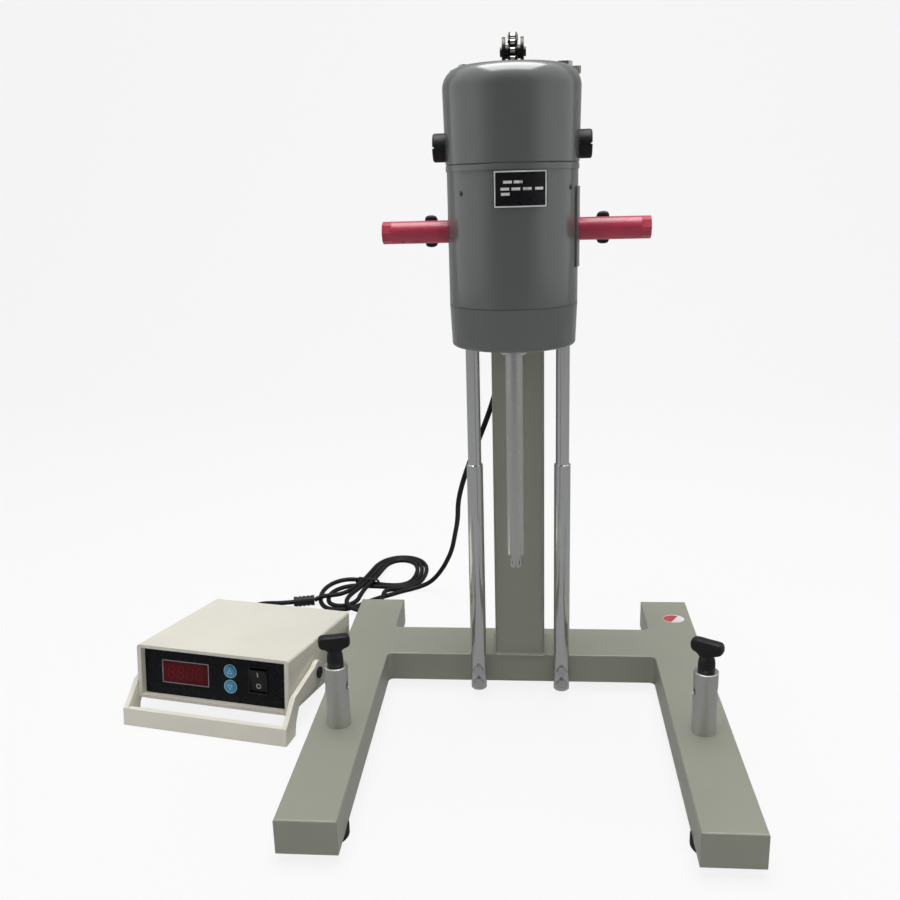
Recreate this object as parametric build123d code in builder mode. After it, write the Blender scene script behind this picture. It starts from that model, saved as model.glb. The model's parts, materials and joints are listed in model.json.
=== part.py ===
from build123d import *
from math import atan2, cos, degrees, pi, radians, sin, tan
import os

# Rotor stator homogenizer: a floor frame with a column and two guide rods, a motor head
# that slides on them under a counterweight, and a tilted control box with its own bail.
# The origin is the point of the bench under the dispersing shaft's axis.
# X runs to the right, Y to the back and Z up. All sizes are in millimetres.

os.makedirs("parts", exist_ok=True)


def save(piece, label):
    """Label a finished piece and write it to its own file."""
    piece.label = label
    export_step(piece, f"parts/{label}.step")


# ---------------------------------------------------------------- driving dimensions
# Fits and clearances
running = 0.04  # radial clearance of a sliding or turning fit
loose = 0.25  # radial clearance of a bolt or stud in its hole
seat_gap = 0.2  # gap between curved parts that are held by screws

# Floor frame
stand_x = 3.0  # the stand's centre plane, a little to the right of the shaft
foot_dia = 50.0
foot_height = 13.0
foot_inset = 51.0  # foot centre from the end of a leg
foot_inboard = 12.0  # foot centre inside the leg's middle
frame_height = 42.0
frame_wall = 6.0
frame_corner = 8.0  # rounded inner corners where the beam meets the legs
leg_width = 70.0
leg_gap = 384.0
leg_reach_front = 386.0  # from the beam's front face
leg_reach_back = 187.0
beam_front = 105.0  # the beam's front face, behind the shaft's axis
beam_depth = 86.0
boss_dia = 30.0

# Column
column_size = 70.0
column_wall = 4.0
column_corner = 4.0
column_top = 836.0
top_bar_thickness = 7.0
top_bar_length = 157.0
top_bar_depth = 28.0

# Guide rods
rod_dia = 18.0
rod_spacing = 118.0
rod_standoff = 11.0  # rod centre in front of the beam
rod_bottom = 9.0
sleeve_dia = 22.0
sleeve_top = 345.0
rod_bolt_heights = (22.5, 42.0)
rod_bolt_reach = 18.0
rod_block_width = 30.0
rod_block_depth = 24.0
m8_head = 13.0  # across flats
m10_head = 17.0
head_thickness_m8 = 5.5
head_thickness_m10 = 7.0

# Lift chain and its wheel
chain_pitch = 9.525
roller_dia = 6.35
chain_plate_height = 8.2
inner_width = 5.72
inner_plate = 1.2
outer_plate = 1.1
plate_gap = 0.1
pin_dia = 3.28
pin_stub = 0.8
wheel_teeth_pitch = 12  # chain pitches that make one turn
wheel_y = 113.0
wheel_z = 865.0
axle_dia = 8.0
bracket_width = 26.6
bracket_plate = 4.0
bracket_radius = 17.0
bracket_foot = 12.0
bracket_foot_thickness = 3.0

# Motor head
body_dia = 151.0
body_base_dia = 147.4
head_bottom = 524.0
seam_height = 573.0
band_bottom = 724.0
band_top = 732.0
band_dia = 153.2
cap_base_dia = 153.4
cap_dia = 156.6
cap_top = 838.5
cap_crown = 2.5
cap_shoulder = 24.0
shell_wall = 4.0
brush_height = 751.0
brush_cap_dia = 32.0
brush_cap_reach = 90.5
grip_height = 657.0
grip_dia = 26.0
grip_end_dia = 25.0
grip_reach = 156.0  # from the stand's centre plane
grip_facets = 11.0  # length of the eight-sided end
stud_dia = 10.0

# Dispersing tool
collar_dia = 32.0
collar_height = 14.0
tube_dia = 21.0
tube_bottom = 246.0
tube_chamfer = 3.5
tip_dia = 13.7
tip_wall = 1.5
tip_bottom = 235.3
tip_slots = 8
tip_slot_width = 1.5
rotor_gap = 0.35
shaft_dia = 6.0

# Carriage
carriage_bottom = 560.0
carriage_top = 700.0
carriage_web = 8.0
bush_wall = 3.5
bush_length = 25.0
bush_flange = 3.0
boss_wall = 4.5
cradle_width = 100.0
lift_travel = 210.0

# Knobs and posts
knob_shank_dia = 21.0
knob_height = 40.0
knob_wing = 40.0
knob_thickness = 14.0
post_dia = 29.5
post_height = 82.0
post_y = -86.0
post_bore_dia = 14.0
post_bore_height = 56.0
post_slot = 3.0
clamp_screw_dia = 10.0

# Counterweight
weight_dia = 54.0
weight_length = 260.0
weight_bottom = 260.0
weight_slot = (16.0, 14.0)
guide_height = 14.0
guide_gap = 0.3

# Control box, in its own tilted frame: x along the front, y inwards, z up
box_x = -418.3
box_y = -5.8
box_yaw = -10.83
box_tilt = 7.21
box_width = 230.0
box_depth = 220.0
box_height = 77.0
box_front_lift = 27.6  # the front edge's height, standing on the bail
case_wall = 2.5
bezel_depth = 14.0
bezel_lip = 5.0
panel_recess = 10.0
panel_thickness = 2.0
split_height = 26.0
window_size = (69.0, 30.0)
window_place = (-45.8, 38.5)
button_dia = 16.0
button_places = ((23.3, 49.2), (23.3, 27.2))
button_proud = 2.0
rocker_size = (24.0, 35.0)
rocker_place = (65.5, 40.8)
bail_gap = 1.0
bail_thickness = 7.0
bail_pivot = (82.0, 32.0)
bail_hub = 17.0

# Cable
cable_dia = 8.0

# ---------------------------------------------------------------- derived places
frame_bottom = foot_height
base_top = frame_bottom + frame_height
leg_length = leg_reach_front + leg_reach_back
leg_x = (leg_gap + leg_width) / 2
leg_y = beam_front + (leg_reach_back - leg_reach_front) / 2
leg_places = [(stand_x - leg_x, leg_y), (stand_x + leg_x, leg_y)]
beam_y = beam_front + beam_depth / 2
column_y = beam_front + column_size / 2
rod_y = beam_front - rod_standoff
rod_xs = (stand_x - rod_spacing / 2, stand_x + rod_spacing / 2)
bar_top = column_top + top_bar_thickness
foot_ys = (beam_front - leg_reach_front + foot_inset, beam_front + leg_reach_back - foot_inset)
foot_xs = (stand_x - leg_x + foot_inboard, stand_x + leg_x - foot_inboard)
body_r = body_dia / 2
chain_r = chain_pitch / 2 / sin(pi / wheel_teeth_pitch)
front_run_y = wheel_y - chain_r
rear_run_y = wheel_y + chain_r
inner_face = inner_width / 2
inner_outside = inner_face + inner_plate
outer_face = inner_outside + plate_gap
chain_half = outer_face + outer_plate + pin_stub
bush_r = rod_dia / 2 + bush_wall
boss_r = bush_r + boss_wall
sides = {"left": -1, "right": 1}


def lathe(points):
    """A solid turned about the shaft's axis from points given as (radius, height)."""
    with BuildSketch(Plane.XZ) as profile:
        Polygon(*points, align=None)
    revolve(profile.sketch, axis=Axis.Z)


def hex_bolt(seat, across_flats, head_height, shank_dia, shank_length):
    """A hexagon bolt whose head sits on the plane and whose shank goes behind it."""
    with BuildPart() as bolt:
        with BuildSketch(seat):
            RegularPolygon(across_flats / 2, 6, major_radius=False)
        extrude(amount=head_height)
        with BuildSketch(seat):
            Circle(shank_dia / 2)
        extrude(amount=-shank_length)
    return bolt.part


# ---------------------------------------------------------------- floor frame
with BuildPart() as base_frame:
    with BuildSketch(Plane.XY.offset(frame_bottom)) as outline:
        with Locations(*leg_places):
            Rectangle(leg_width, leg_length)
        with Locations((stand_x, beam_y)):
            Rectangle(leg_gap + leg_width, beam_depth)
        inner_corners = outline.vertices().filter_by(
            lambda v: abs(v.X - stand_x) < leg_gap / 2 + 1 and abs(v.Y - beam_y) < beam_depth / 2 + 1
        )
        fillet(inner_corners, frame_corner)
    extrude(amount=frame_height)
    with BuildSketch(Plane.XY.offset(frame_bottom + frame_wall)):
        with Locations(*leg_places):
            Rectangle(leg_width - 2 * frame_wall, leg_length - 2 * frame_wall)
        with Locations((stand_x, beam_y)):
            Rectangle(leg_gap + leg_width, beam_depth - 2 * frame_wall)
    extrude(amount=frame_height - 2 * frame_wall, mode=Mode.SUBTRACT)
    # A solid seat under the column, bosses for the feet and posts, tapped blocks for the rods
    with BuildSketch(Plane.XY.offset(frame_bottom)):
        with Locations((stand_x, beam_y)):
            Rectangle(column_size, beam_depth - frame_wall)
        with Locations(*[(x, y) for x in foot_xs for y in foot_ys]):
            Circle(boss_dia / 2)
        with Locations(*[(x, post_y) for x, _ in leg_places]):
            Circle(boss_dia / 2)
        with Locations(*[(x, beam_front + rod_block_depth / 2) for x in rod_xs]):
            Rectangle(rod_block_width, rod_block_depth)
    extrude(amount=frame_height - frame_wall / 2)
    with BuildSketch(Plane.XY.offset(frame_bottom)):
        with Locations(*[(x, y) for x in foot_xs for y in foot_ys]):
            Circle(stud_dia / 2 + loose)
    extrude(amount=frame_height - 2 * frame_wall, mode=Mode.SUBTRACT)
    with BuildSketch(Plane.XY.offset(frame_bottom)):
        with Locations(*[(x, post_y) for x, _ in leg_places]):
            Circle(clamp_screw_dia / 2 + loose)
    extrude(amount=frame_height, mode=Mode.SUBTRACT)
    with BuildSketch(Plane.XZ.offset(-beam_front)):
        with Locations(*[(x, z) for x in rod_xs for z in rod_bolt_heights]):
            Circle(8.0 / 2)
    extrude(amount=-rod_bolt_reach, mode=Mode.SUBTRACT)
    top_edges = base_frame.faces().sort_by(Axis.Z)[-1].outer_wire().edges()
    fillet(top_edges, 2.0)
save(base_frame.part, "base_frame")

with BuildPart() as feet:
    with BuildSketch():
        with Locations(*[(x, y) for x in foot_xs for y in foot_ys]):
            Circle(foot_dia / 2)
    extrude(amount=foot_height)
    chamfer(feet.edges().group_by(Axis.Z)[0], 2.0)
    with BuildSketch():
        with Locations(*[(x, y) for x in foot_xs for y in foot_ys]):
            Circle(stud_dia)
    extrude(amount=foot_height / 2, mode=Mode.SUBTRACT)
    with BuildSketch(Plane.XY.offset(foot_height)):
        with Locations(*[(x, y) for x in foot_xs for y in foot_ys]):
            Circle(stud_dia / 2)
    extrude(amount=frame_height / 2)
save(feet.part, "feet")

# ---------------------------------------------------------------- column and top bar
with BuildPart() as column:
    with BuildSketch(Plane.XY.offset(base_top)):
        with Locations((stand_x, column_y)):
            RectangleRounded(column_size, column_size, column_corner)
            bore_size = column_size - 2 * column_wall
            RectangleRounded(bore_size, bore_size, column_corner / 2, mode=Mode.SUBTRACT)
    extrude(amount=column_top - base_top)
save(column.part, "column")

bracket_bolt_x = bracket_width / 2 + bracket_foot / 2
with BuildPart() as top_bar:
    with BuildSketch(Plane.XY.offset(column_top)) as bar_outline:
        with Locations((stand_x, rod_y)):
            Rectangle(top_bar_length, top_bar_depth)
        with Locations((stand_x, (rod_y + column_y + column_size / 2) / 2)):
            Rectangle(column_size, column_y + column_size / 2 - rod_y)
        fillet(bar_outline.vertices().group_by(Axis.Y)[0], 3.0)
        fillet(bar_outline.vertices().group_by(Axis.Y)[-1], 6.0)
        # Notch for the chain's front run and window for its rear run
        with Locations((0, (rod_y - top_bar_depth / 2 + front_run_y + chain_plate_height) / 2)):
            Rectangle(
                2 * chain_half + 4,
                front_run_y + chain_plate_height - rod_y + top_bar_depth / 2,
                mode=Mode.SUBTRACT,
            )
        with Locations((0, rear_run_y)):
            Rectangle(2 * chain_half + 4, 2 * chain_plate_height, mode=Mode.SUBTRACT)
        with Locations(*[(x, rod_y) for x in rod_xs]):
            Circle(stud_dia / 2 + loose, mode=Mode.SUBTRACT)
        with Locations((-bracket_bolt_x, wheel_y), (bracket_bolt_x, wheel_y)):
            Circle(5.0 / 2 + loose, mode=Mode.SUBTRACT)
    extrude(amount=top_bar_thickness)
save(top_bar.part, "top_bar")

# ---------------------------------------------------------------- guide rods
for side, x in zip(sides, rod_xs):
    with BuildPart() as rod:
        with BuildSketch(Plane.XY.offset(rod_bottom)):
            with Locations((x, rod_y)):
                Circle(rod_dia / 2)
        extrude(amount=column_top - rod_bottom)
        with BuildSketch(Plane.XZ.offset(-rod_y)):
            with Locations(*[(x, z) for z in rod_bolt_heights]):
                Circle(8.0 / 2 + loose)
        extrude(amount=rod_dia, both=True, mode=Mode.SUBTRACT)
        with BuildSketch(Plane.XY.offset(column_top)):
            with Locations((x, rod_y)):
                Circle(stud_dia / 2 + loose)
        extrude(amount=-3 * stud_dia, mode=Mode.SUBTRACT)
        chamfer(rod.edges().group_by(Axis.Z)[0], 1.0)
    save(rod.part, f"guide_rod_{side}")

with BuildPart() as stop_sleeves:
    with BuildSketch(Plane.XY.offset(rod_bottom)):
        with Locations(*[(x, rod_y) for x in rod_xs]):
            Circle(sleeve_dia / 2)
            Circle(rod_dia / 2 + running, mode=Mode.SUBTRACT)
    extrude(amount=sleeve_top - rod_bottom)
    with BuildSketch(Plane.XZ.offset(-rod_y)):
        with Locations(*[(x, z) for x in rod_xs for z in rod_bolt_heights]):
            Circle(8.0 / 2 + loose)
    extrude(amount=sleeve_dia, both=True, mode=Mode.SUBTRACT)
    outer_rims = stop_sleeves.edges().filter_by(GeomType.CIRCLE).filter_by(
        lambda e: abs(e.radius - sleeve_dia / 2) < 0.01 and e.length > 3 * sleeve_dia
    )
    chamfer(outer_rims, 0.8)
save(stop_sleeves.part, "stop_sleeves")

bracket_bolt_seat = bar_top + bracket_foot_thickness
with BuildPart() as top_bolts:
    for x in rod_xs:
        top_seat = Plane(origin=(x, rod_y, bar_top), x_dir=(1, 0, 0), z_dir=(0, 0, 1))
        add(hex_bolt(top_seat, m10_head, head_thickness_m10, stud_dia, 3 * stud_dia))
    for x in (-bracket_bolt_x, bracket_bolt_x):
        foot_seat = Plane(
            origin=(x, wheel_y, bracket_bolt_seat), x_dir=(1, 0, 0), z_dir=(0, 0, 1)
        )
        add(hex_bolt(foot_seat, 8.0, 3.5, 5.0, top_bar_thickness + bracket_foot_thickness))
save(top_bolts.part, "top_bolts")

with BuildPart() as base_bolts:
    for x in rod_xs:
        for z in rod_bolt_heights:
            seat = Plane(
                origin=(x, rod_y - sleeve_dia / 2, z), x_dir=(1, 0, 0), z_dir=(0, -1, 0)
            )
            add(hex_bolt(seat, m8_head, head_thickness_m8, 8.0, sleeve_dia + rod_bolt_reach))
    for x, _ in leg_places:
        bolt_seat = Plane(
            origin=(x, post_y, base_top - frame_height), x_dir=(1, 0, 0), z_dir=(0, 0, -1)
        )
        add(hex_bolt(bolt_seat, m10_head, 5.0, clamp_screw_dia, frame_height + 18.0))
save(base_bolts.part, "base_bolts")

# ---------------------------------------------------------------- chain bracket, axle and wheel
with BuildPart() as chain_bracket:
    for direction in (-1, 1):
        plate_face = Plane.YZ.offset(direction * (bracket_width / 2 - bracket_plate / 2))
        with BuildSketch(plate_face):
            with Locations((wheel_y, wheel_z)):
                Circle(bracket_radius)
            with Locations((wheel_y, (wheel_z + bar_top) / 2)):
                Rectangle(2 * bracket_radius, wheel_z - bar_top)
            with Locations((wheel_y, wheel_z)):
                Circle(axle_dia / 2 + running, mode=Mode.SUBTRACT)
        extrude(amount=bracket_plate / 2, both=True)
        foot_x = direction * (bracket_width / 2 + bracket_foot / 2)
        with BuildSketch(Plane.XY.offset(bar_top)):
            with Locations((foot_x - direction, wheel_y)):
                Rectangle(bracket_foot + 2, 2 * bracket_radius)
            with Locations((foot_x, wheel_y)):
                Circle(5.0 / 2 + loose, mode=Mode.SUBTRACT)
        extrude(amount=bracket_foot_thickness)
save(chain_bracket.part, "chain_bracket")

axle_cap = 2.7
with BuildPart() as wheel_axle:
    with BuildSketch(Plane.YZ):
        with Locations((wheel_y, wheel_z)):
            Circle(axle_dia / 2)
    extrude(amount=bracket_width / 2 + axle_cap, both=True)
    for direction in (-1, 1):
        with BuildSketch(Plane.YZ.offset(direction * bracket_width / 2)):
            with Locations((wheel_y, wheel_z)):
                Circle(axle_dia / 2 + 1.5)
        extrude(amount=direction * axle_cap)
save(wheel_axle.part, "wheel_axle")

wheel_rim = chain_r - roller_dia / 2 - seat_gap
with BuildPart() as chain_wheel:
    with BuildSketch(Plane.YZ):
        with Locations((wheel_y, wheel_z)):
            Circle(wheel_rim)
    extrude(amount=inner_width / 2 - seat_gap, both=True)
    with BuildSketch(Plane.YZ):
        with Locations((wheel_y, wheel_z)):
            Circle(axle_dia)
    extrude(amount=bracket_width / 2 - bracket_plate - seat_gap, both=True)
    with BuildSketch(Plane.YZ):
        with Locations((wheel_y, wheel_z)):
            Circle(axle_dia / 2 + running)
    extrude(amount=bracket_width, both=True, mode=Mode.SUBTRACT)
    with BuildSketch(Plane.YZ):
        with Locations((wheel_y, wheel_z)):
            with PolarLocations((wheel_rim + axle_dia) / 2, 5):
                Circle(1.8)
    extrude(amount=inner_width, both=True, mode=Mode.SUBTRACT)
save(chain_wheel.part, "chain_wheel")

# ---------------------------------------------------------------- lift chain
anchor_height = carriage_top - 8.0
shown_front = 17  # links of the front run that show above the head
shown_rear = 3
lower_links = round((wheel_z - anchor_height + lift_travel) / chain_pitch) - shown_front
half_turn = wheel_teeth_pitch // 2
rollers = [(front_run_y, wheel_z - k * chain_pitch) for k in range(shown_front, 0, -1)]
for step in range(half_turn + 1):
    turn = pi - step * 2 * pi / wheel_teeth_pitch
    rollers.append((wheel_y + chain_r * cos(turn), wheel_z + chain_r * sin(turn)))
rollers += [(rear_run_y, wheel_z - k * chain_pitch) for k in range(1, shown_rear + 1)]


def link_places(points):
    """The middle and the slope of each link of a run of rollers."""
    places = []
    for (y1, z1), (y2, z2) in zip(points, points[1:]):
        slope = degrees(atan2(z2 - z1, y2 - y1))
        places.append(Location(((y1 + y2) / 2, (z1 + z2) / 2, 0), (0, 0, slope)))
    return places


links = link_places(rollers)
with BuildPart() as lift_chain:
    layers = (
        (links[0::2], outer_face, outer_plate),
        (links[1::2], inner_face, inner_plate),
    )
    with BuildSketch(Plane.YZ):
        with Locations(*rollers):
            Circle(roller_dia / 2)
    extrude(amount=inner_face, both=True)
    for places, face, thickness in layers:
        for direction in (-1, 1):
            with BuildSketch(Plane.YZ.offset(direction * face)):
                with Locations(*places):
                    SlotCenterToCenter(chain_pitch, chain_plate_height)
            extrude(amount=direction * thickness)
    with BuildSketch(Plane.YZ):
        with Locations(*rollers):
            Circle(pin_dia / 2)
    extrude(amount=chain_half, both=True)
save(lift_chain.part, "lift_chain")

# The lower links of the front run, down to where the head comes to rest
lower_rollers = [
    (front_run_y, wheel_z - (shown_front + k) * chain_pitch) for k in range(lower_links, 0, -1)
]
lower_run = link_places([*lower_rollers, rollers[0]])
with BuildPart() as lower_chain:
    layers = (
        (lower_run[-2::-2], outer_face, outer_plate),
        (lower_run[-1::-2], inner_face, inner_plate),
    )
    for places, face, thickness in layers:
        for direction in (-1, 1):
            with BuildSketch(Plane.YZ.offset(direction * face)):
                for place in places:
                    with Locations(place):
                        Rectangle(chain_pitch - seat_gap, chain_plate_height)
            extrude(amount=direction * thickness)
    with BuildSketch(Plane.YZ):
        with Locations(*lower_rollers):
            Circle(roller_dia / 2)
    extrude(amount=outer_face, both=True)
    with BuildSketch(Plane.YZ):
        with Locations(rollers[0]):
            Circle(roller_dia / 2 + running)
    extrude(amount=chain_half, both=True, mode=Mode.SUBTRACT)
strip_top = wheel_z - shown_rear * chain_pitch - chain_plate_height / 2
strip_bottom = weight_bottom + weight_length - 5.0
with BuildPart() as chain_runs:
    add(lower_chain.part)
    with BuildSketch(Plane.XY.offset(strip_bottom)):
        with Locations((0, rear_run_y)):
            Rectangle(2 * (outer_face + outer_plate), chain_plate_height)
    extrude(amount=strip_top - strip_bottom)
save(chain_runs.part, "chain_runs")

# The counterweight, with a guide ring at each end that runs along the column's inner walls
ring_r = column_size / 2 - column_wall - guide_gap
with BuildPart() as counterweight:
    with BuildSketch(Plane.XY.offset(weight_bottom)):
        with Locations((stand_x, column_y)):
            Circle(weight_dia / 2)
    extrude(amount=weight_length)
    for height in (weight_bottom, weight_bottom + weight_length - guide_height):
        with BuildSketch(Plane.XY.offset(height)):
            with Locations((stand_x, column_y)):
                Circle(ring_r)
        extrude(amount=guide_height)
    with BuildSketch(Plane.XY.offset(weight_bottom)):
        with Locations((0, rear_run_y)):
            Rectangle(*weight_slot)
    extrude(amount=weight_length, mode=Mode.SUBTRACT)
save(counterweight.part, "counterweight")

# ---------------------------------------------------------------- motor head
tube_bore = tip_dia / 2 + running
floor_thickness = 6.0
with BuildPart() as lower_shell:
    lathe([
        (tube_dia / 2 + running, head_bottom),
        (body_base_dia / 2, head_bottom),
        (body_base_dia / 2, head_bottom + floor_thickness),
        (body_r, seam_height),
        (body_r - shell_wall, seam_height),
        (body_base_dia / 2 - shell_wall, head_bottom + floor_thickness),
        (tube_dia / 2 + running, head_bottom + floor_thickness),
    ])
    fillet(lower_shell.edges().group_by(Axis.Z)[0].sort_by(SortBy.LENGTH)[-1], 4.0)
save(lower_shell.part, "lower_shell")

bearing_r = 13.0
main_shaft_r = 5.0
plate_thickness = 8.0
bridge_height = 694.0
with BuildPart() as motor_shell:
    lathe([
        (bearing_r, seam_height),
        (body_r, seam_height),
        (body_r, band_bottom),
        (body_r - shell_wall, band_bottom),
        (body_r - shell_wall, seam_height + plate_thickness),
        (bearing_r, seam_height + plate_thickness),
    ])
    lathe([
        (bearing_r, bridge_height),
        (body_r - shell_wall / 2, bridge_height),
        (body_r - shell_wall / 2, bridge_height + plate_thickness),
        (bearing_r, bridge_height + plate_thickness),
    ])
    with BuildSketch(Plane.XY.offset(bridge_height)):
        with PolarLocations(body_r * 0.6, 6):
            Circle(12.0)
    extrude(amount=plate_thickness, mode=Mode.SUBTRACT)
    with BuildSketch(Plane.YZ.offset(-body_dia)):
        with Locations((0, grip_height)):
            Circle(stud_dia / 2 + running)
    extrude(amount=2 * body_dia, mode=Mode.SUBTRACT)
save(motor_shell.part, "motor_shell")

with BuildPart() as bearings:
    for height in (seam_height, bridge_height):
        lathe([
            (main_shaft_r + running, height),
            (bearing_r, height),
            (bearing_r, height + plate_thickness),
            (main_shaft_r + running, height + plate_thickness),
        ])

field_bottom = 600.0
field_top = 690.0
with BuildPart() as field_stator:
    lathe([
        (41.0, field_bottom),
        (body_r - shell_wall - seat_gap, field_bottom),
        (body_r - shell_wall - seat_gap, field_top),
        (41.0, field_top),
    ])
save(field_stator.part, "field_stator")

cap_edge = cap_top - cap_crown
with BuildPart() as motor_cap:
    lathe([
        (0, band_bottom + 96.0),
        (0, cap_top),
        (cap_dia / 2 - cap_shoulder, cap_edge),
        (cap_dia / 2, cap_edge),
        (cap_dia / 2, cap_edge - cap_shoulder),
        (cap_base_dia / 2, band_top),
        (band_dia / 2 - 1.2, band_top - 0.8),
        (band_dia / 2, band_top - 1.6),
        (band_dia / 2, band_bottom),
        (body_r - shell_wall, band_bottom),
        (body_r - shell_wall, band_bottom + 96.0),
    ])
    rim = motor_cap.edges().filter_by(GeomType.CIRCLE).filter_by(
        lambda e: abs(e.radius - cap_dia / 2) < 0.01 and abs(e.center().Z - cap_edge) < 0.01
    )
    fillet(rim, cap_shoulder - 1.0)
    with BuildSketch(Plane.YZ.offset(-body_dia)):
        with Locations((0, brush_height)):
            Circle(brush_cap_dia / 2 + running)
    extrude(amount=2 * body_dia, mode=Mode.SUBTRACT)
save(motor_cap.part, "motor_cap")

with BuildPart() as brush_caps:
    with BuildSketch(Plane.YZ.offset(-brush_cap_reach)):
        with Locations((0, brush_height)):
            Circle(brush_cap_dia / 2)
    extrude(amount=2 * brush_cap_reach)
    chamfer(brush_caps.edges().group_by(Axis.X)[0], 1.5)
    chamfer(brush_caps.edges().group_by(Axis.X)[-1], 1.5)
    for direction in sides.values():
        with BuildSketch(Plane.YZ.offset(direction * brush_cap_reach)):
            with Locations((0, brush_height)):
                Rectangle(brush_cap_dia, 2.0)
        extrude(amount=-direction * 2.0, mode=Mode.SUBTRACT)
    with BuildSketch(Plane.YZ):
        with Locations((0, brush_height)):
            Circle(brush_cap_dia)
    extrude(amount=body_r - shell_wall, both=True, mode=Mode.SUBTRACT)
save(brush_caps.part, "brush_caps")

for side, direction in sides.items():
    end_x = stand_x + direction * grip_reach
    with BuildPart() as grip:
        with BuildSketch(Plane.YZ.offset(end_x)):
            with Locations((0, grip_height)):
                RegularPolygon(grip_end_dia / 2 + 0.5, 8, major_radius=True)
        extrude(amount=-direction * grip_facets)
        with BuildSketch(Plane.YZ.offset(end_x - direction * grip_facets)):
            with Locations((0, grip_height)):
                Circle(grip_dia / 2)
        extrude(amount=-direction * (abs(end_x) - grip_facets - body_r + 3.0))
        with BuildSketch(Plane.XY.offset(grip_height)):
            Circle(body_r + seat_gap)
        extrude(amount=grip_dia, both=True, mode=Mode.SUBTRACT)
        with BuildSketch(Plane.YZ.offset(direction * body_r)):
            with Locations((0, grip_height)):
                Circle(stud_dia / 2 + running)
        extrude(amount=direction * 40.0, mode=Mode.SUBTRACT)
    save(grip.part, f"grip_{side}")

with BuildPart() as grip_studs:
    for direction in sides.values():
        with BuildSketch(Plane.YZ.offset(direction * (body_r - shell_wall))):
            with Locations((0, grip_height)):
                Circle(stud_dia / 2)
        extrude(amount=direction * 40.0)
save(grip_studs.part, "grip_studs")


def wrapped(inner_r, outer_r, bottom, top, middle, width):
    """A curved plate round the shaft's axis, its middle turned from the front."""
    half_turn_angle = degrees(width / 2 / inner_r)
    start = middle - 90 - half_turn_angle
    with BuildPart() as plate:
        with BuildSketch(Plane.XY.offset(bottom)):
            with BuildLine():
                outer = CenterArc((0, 0), outer_r, start, 2 * half_turn_angle)
                inner = CenterArc((0, 0), inner_r, start, 2 * half_turn_angle)
                Line(outer @ 0, inner @ 0)
                Line(outer @ 1, inner @ 1)
            make_face()
        extrude(amount=top - bottom)
    return plate.part


nameplate = wrapped(body_r + running, body_r + 0.8, 684.0, 723.0, 8.0, 60.0)
save(nameplate, "nameplate")
with BuildPart() as side_plate:
    add(wrapped(body_r + running, body_r + 2.0, 615.0, 705.0, 86.0, 38.0))
    with BuildSketch(Plane.YZ):
        with Locations((0, grip_height)):
            Circle(grip_dia / 2 + loose)
    extrude(amount=body_dia, mode=Mode.SUBTRACT)
save(side_plate.part, "side_plate")

gland_x = -39.5
gland_height = 712.0
gland_reach = 96.0
with BuildPart() as cable_gland:
    with BuildSketch(Plane.XZ.offset(-50.0)):
        with Locations((gland_x, gland_height)):
            Circle(9.0)
    extrude(amount=-(84.0 - 50.0))
    with BuildSketch(Plane.XZ.offset(-84.0)):
        with Locations((gland_x, gland_height)):
            Circle(8.0)
    extrude(amount=-(gland_reach - 84.0), taper=12)
    with BuildSketch(Plane.XY.offset(gland_height)):
        Circle(body_r + running)
    extrude(amount=20.0, both=True, mode=Mode.SUBTRACT)
save(cable_gland.part, "cable_gland")

# ---------------------------------------------------------------- dispersing tool
with BuildPart() as collar:
    lathe([
        (tube_dia / 2 + running, head_bottom - collar_height),
        (collar_dia / 2, head_bottom - collar_height),
        (collar_dia / 2, head_bottom),
        (tube_dia / 2 + running, head_bottom),
    ])
    chamfer(collar.edges().group_by(Axis.Z)[0].sort_by(SortBy.LENGTH)[-1], 2.0)
save(collar.part, "collar")

tube_top = seam_height - 20.0
tip_top = tube_bottom + 18.0
with BuildPart() as stator_tube:
    lathe([
        (tube_bore, tube_bottom),
        (tube_dia / 2 - tube_chamfer + 0.5, tube_bottom),
        (tube_dia / 2, tube_bottom + 2 * tube_chamfer),
        (tube_dia / 2, tube_top),
        (tube_bore, tube_top),
    ])
save(stator_tube.part, "stator_tube")

tip_bore = tip_dia / 2 - tip_wall
with BuildPart() as stator_tip:
    lathe([
        (tip_bore, tip_bottom),
        (tip_dia / 2, tip_bottom),
        (tip_dia / 2, tip_top),
        (tip_bore, tip_top),
    ])
    with BuildSketch(Plane.XY.offset(tip_bottom)):
        with PolarLocations(tip_dia / 2, tip_slots):
            Rectangle(3 * tip_wall, tip_slot_width)
    extrude(amount=tube_bottom - tip_bottom - 1.5, mode=Mode.SUBTRACT)
save(stator_tip.part, "stator_tip")

with BuildPart() as all_bearings:
    add(bearings.part)
    lathe([
        (shaft_dia / 2 + running, tube_bottom + 4.0),
        (tip_bore - running, tube_bottom + 4.0),
        (tip_bore - running, tip_top),
        (shaft_dia / 2 + running, tip_top),
    ])
save(all_bearings.part, "bearings")

shaft_bottom = tip_bottom + 1.0
blade_height = 9.0
with BuildPart() as rotor_shaft:
    lathe([
        (0, shaft_bottom),
        (shaft_dia / 2, shaft_bottom),
        (shaft_dia / 2, seam_height - 12.0),
        (main_shaft_r, seam_height - 12.0),
        (main_shaft_r, band_bottom + 4.0),
        (0, band_bottom + 4.0),
    ])
save(rotor_shaft.part, "rotor_shaft")

with BuildPart() as rotor_blades:
    with BuildSketch(Plane.XY.offset(shaft_bottom)):
        with PolarLocations((shaft_dia / 2 + tip_bore - rotor_gap) / 2, 4):
            Rectangle(tip_bore - rotor_gap - shaft_dia / 2, 1.6)
        Circle(shaft_dia / 2 + 0.8)
        Circle(shaft_dia / 2 + running / 2, mode=Mode.SUBTRACT)
    extrude(amount=blade_height)
save(rotor_blades.part, "rotor_blades")

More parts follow.
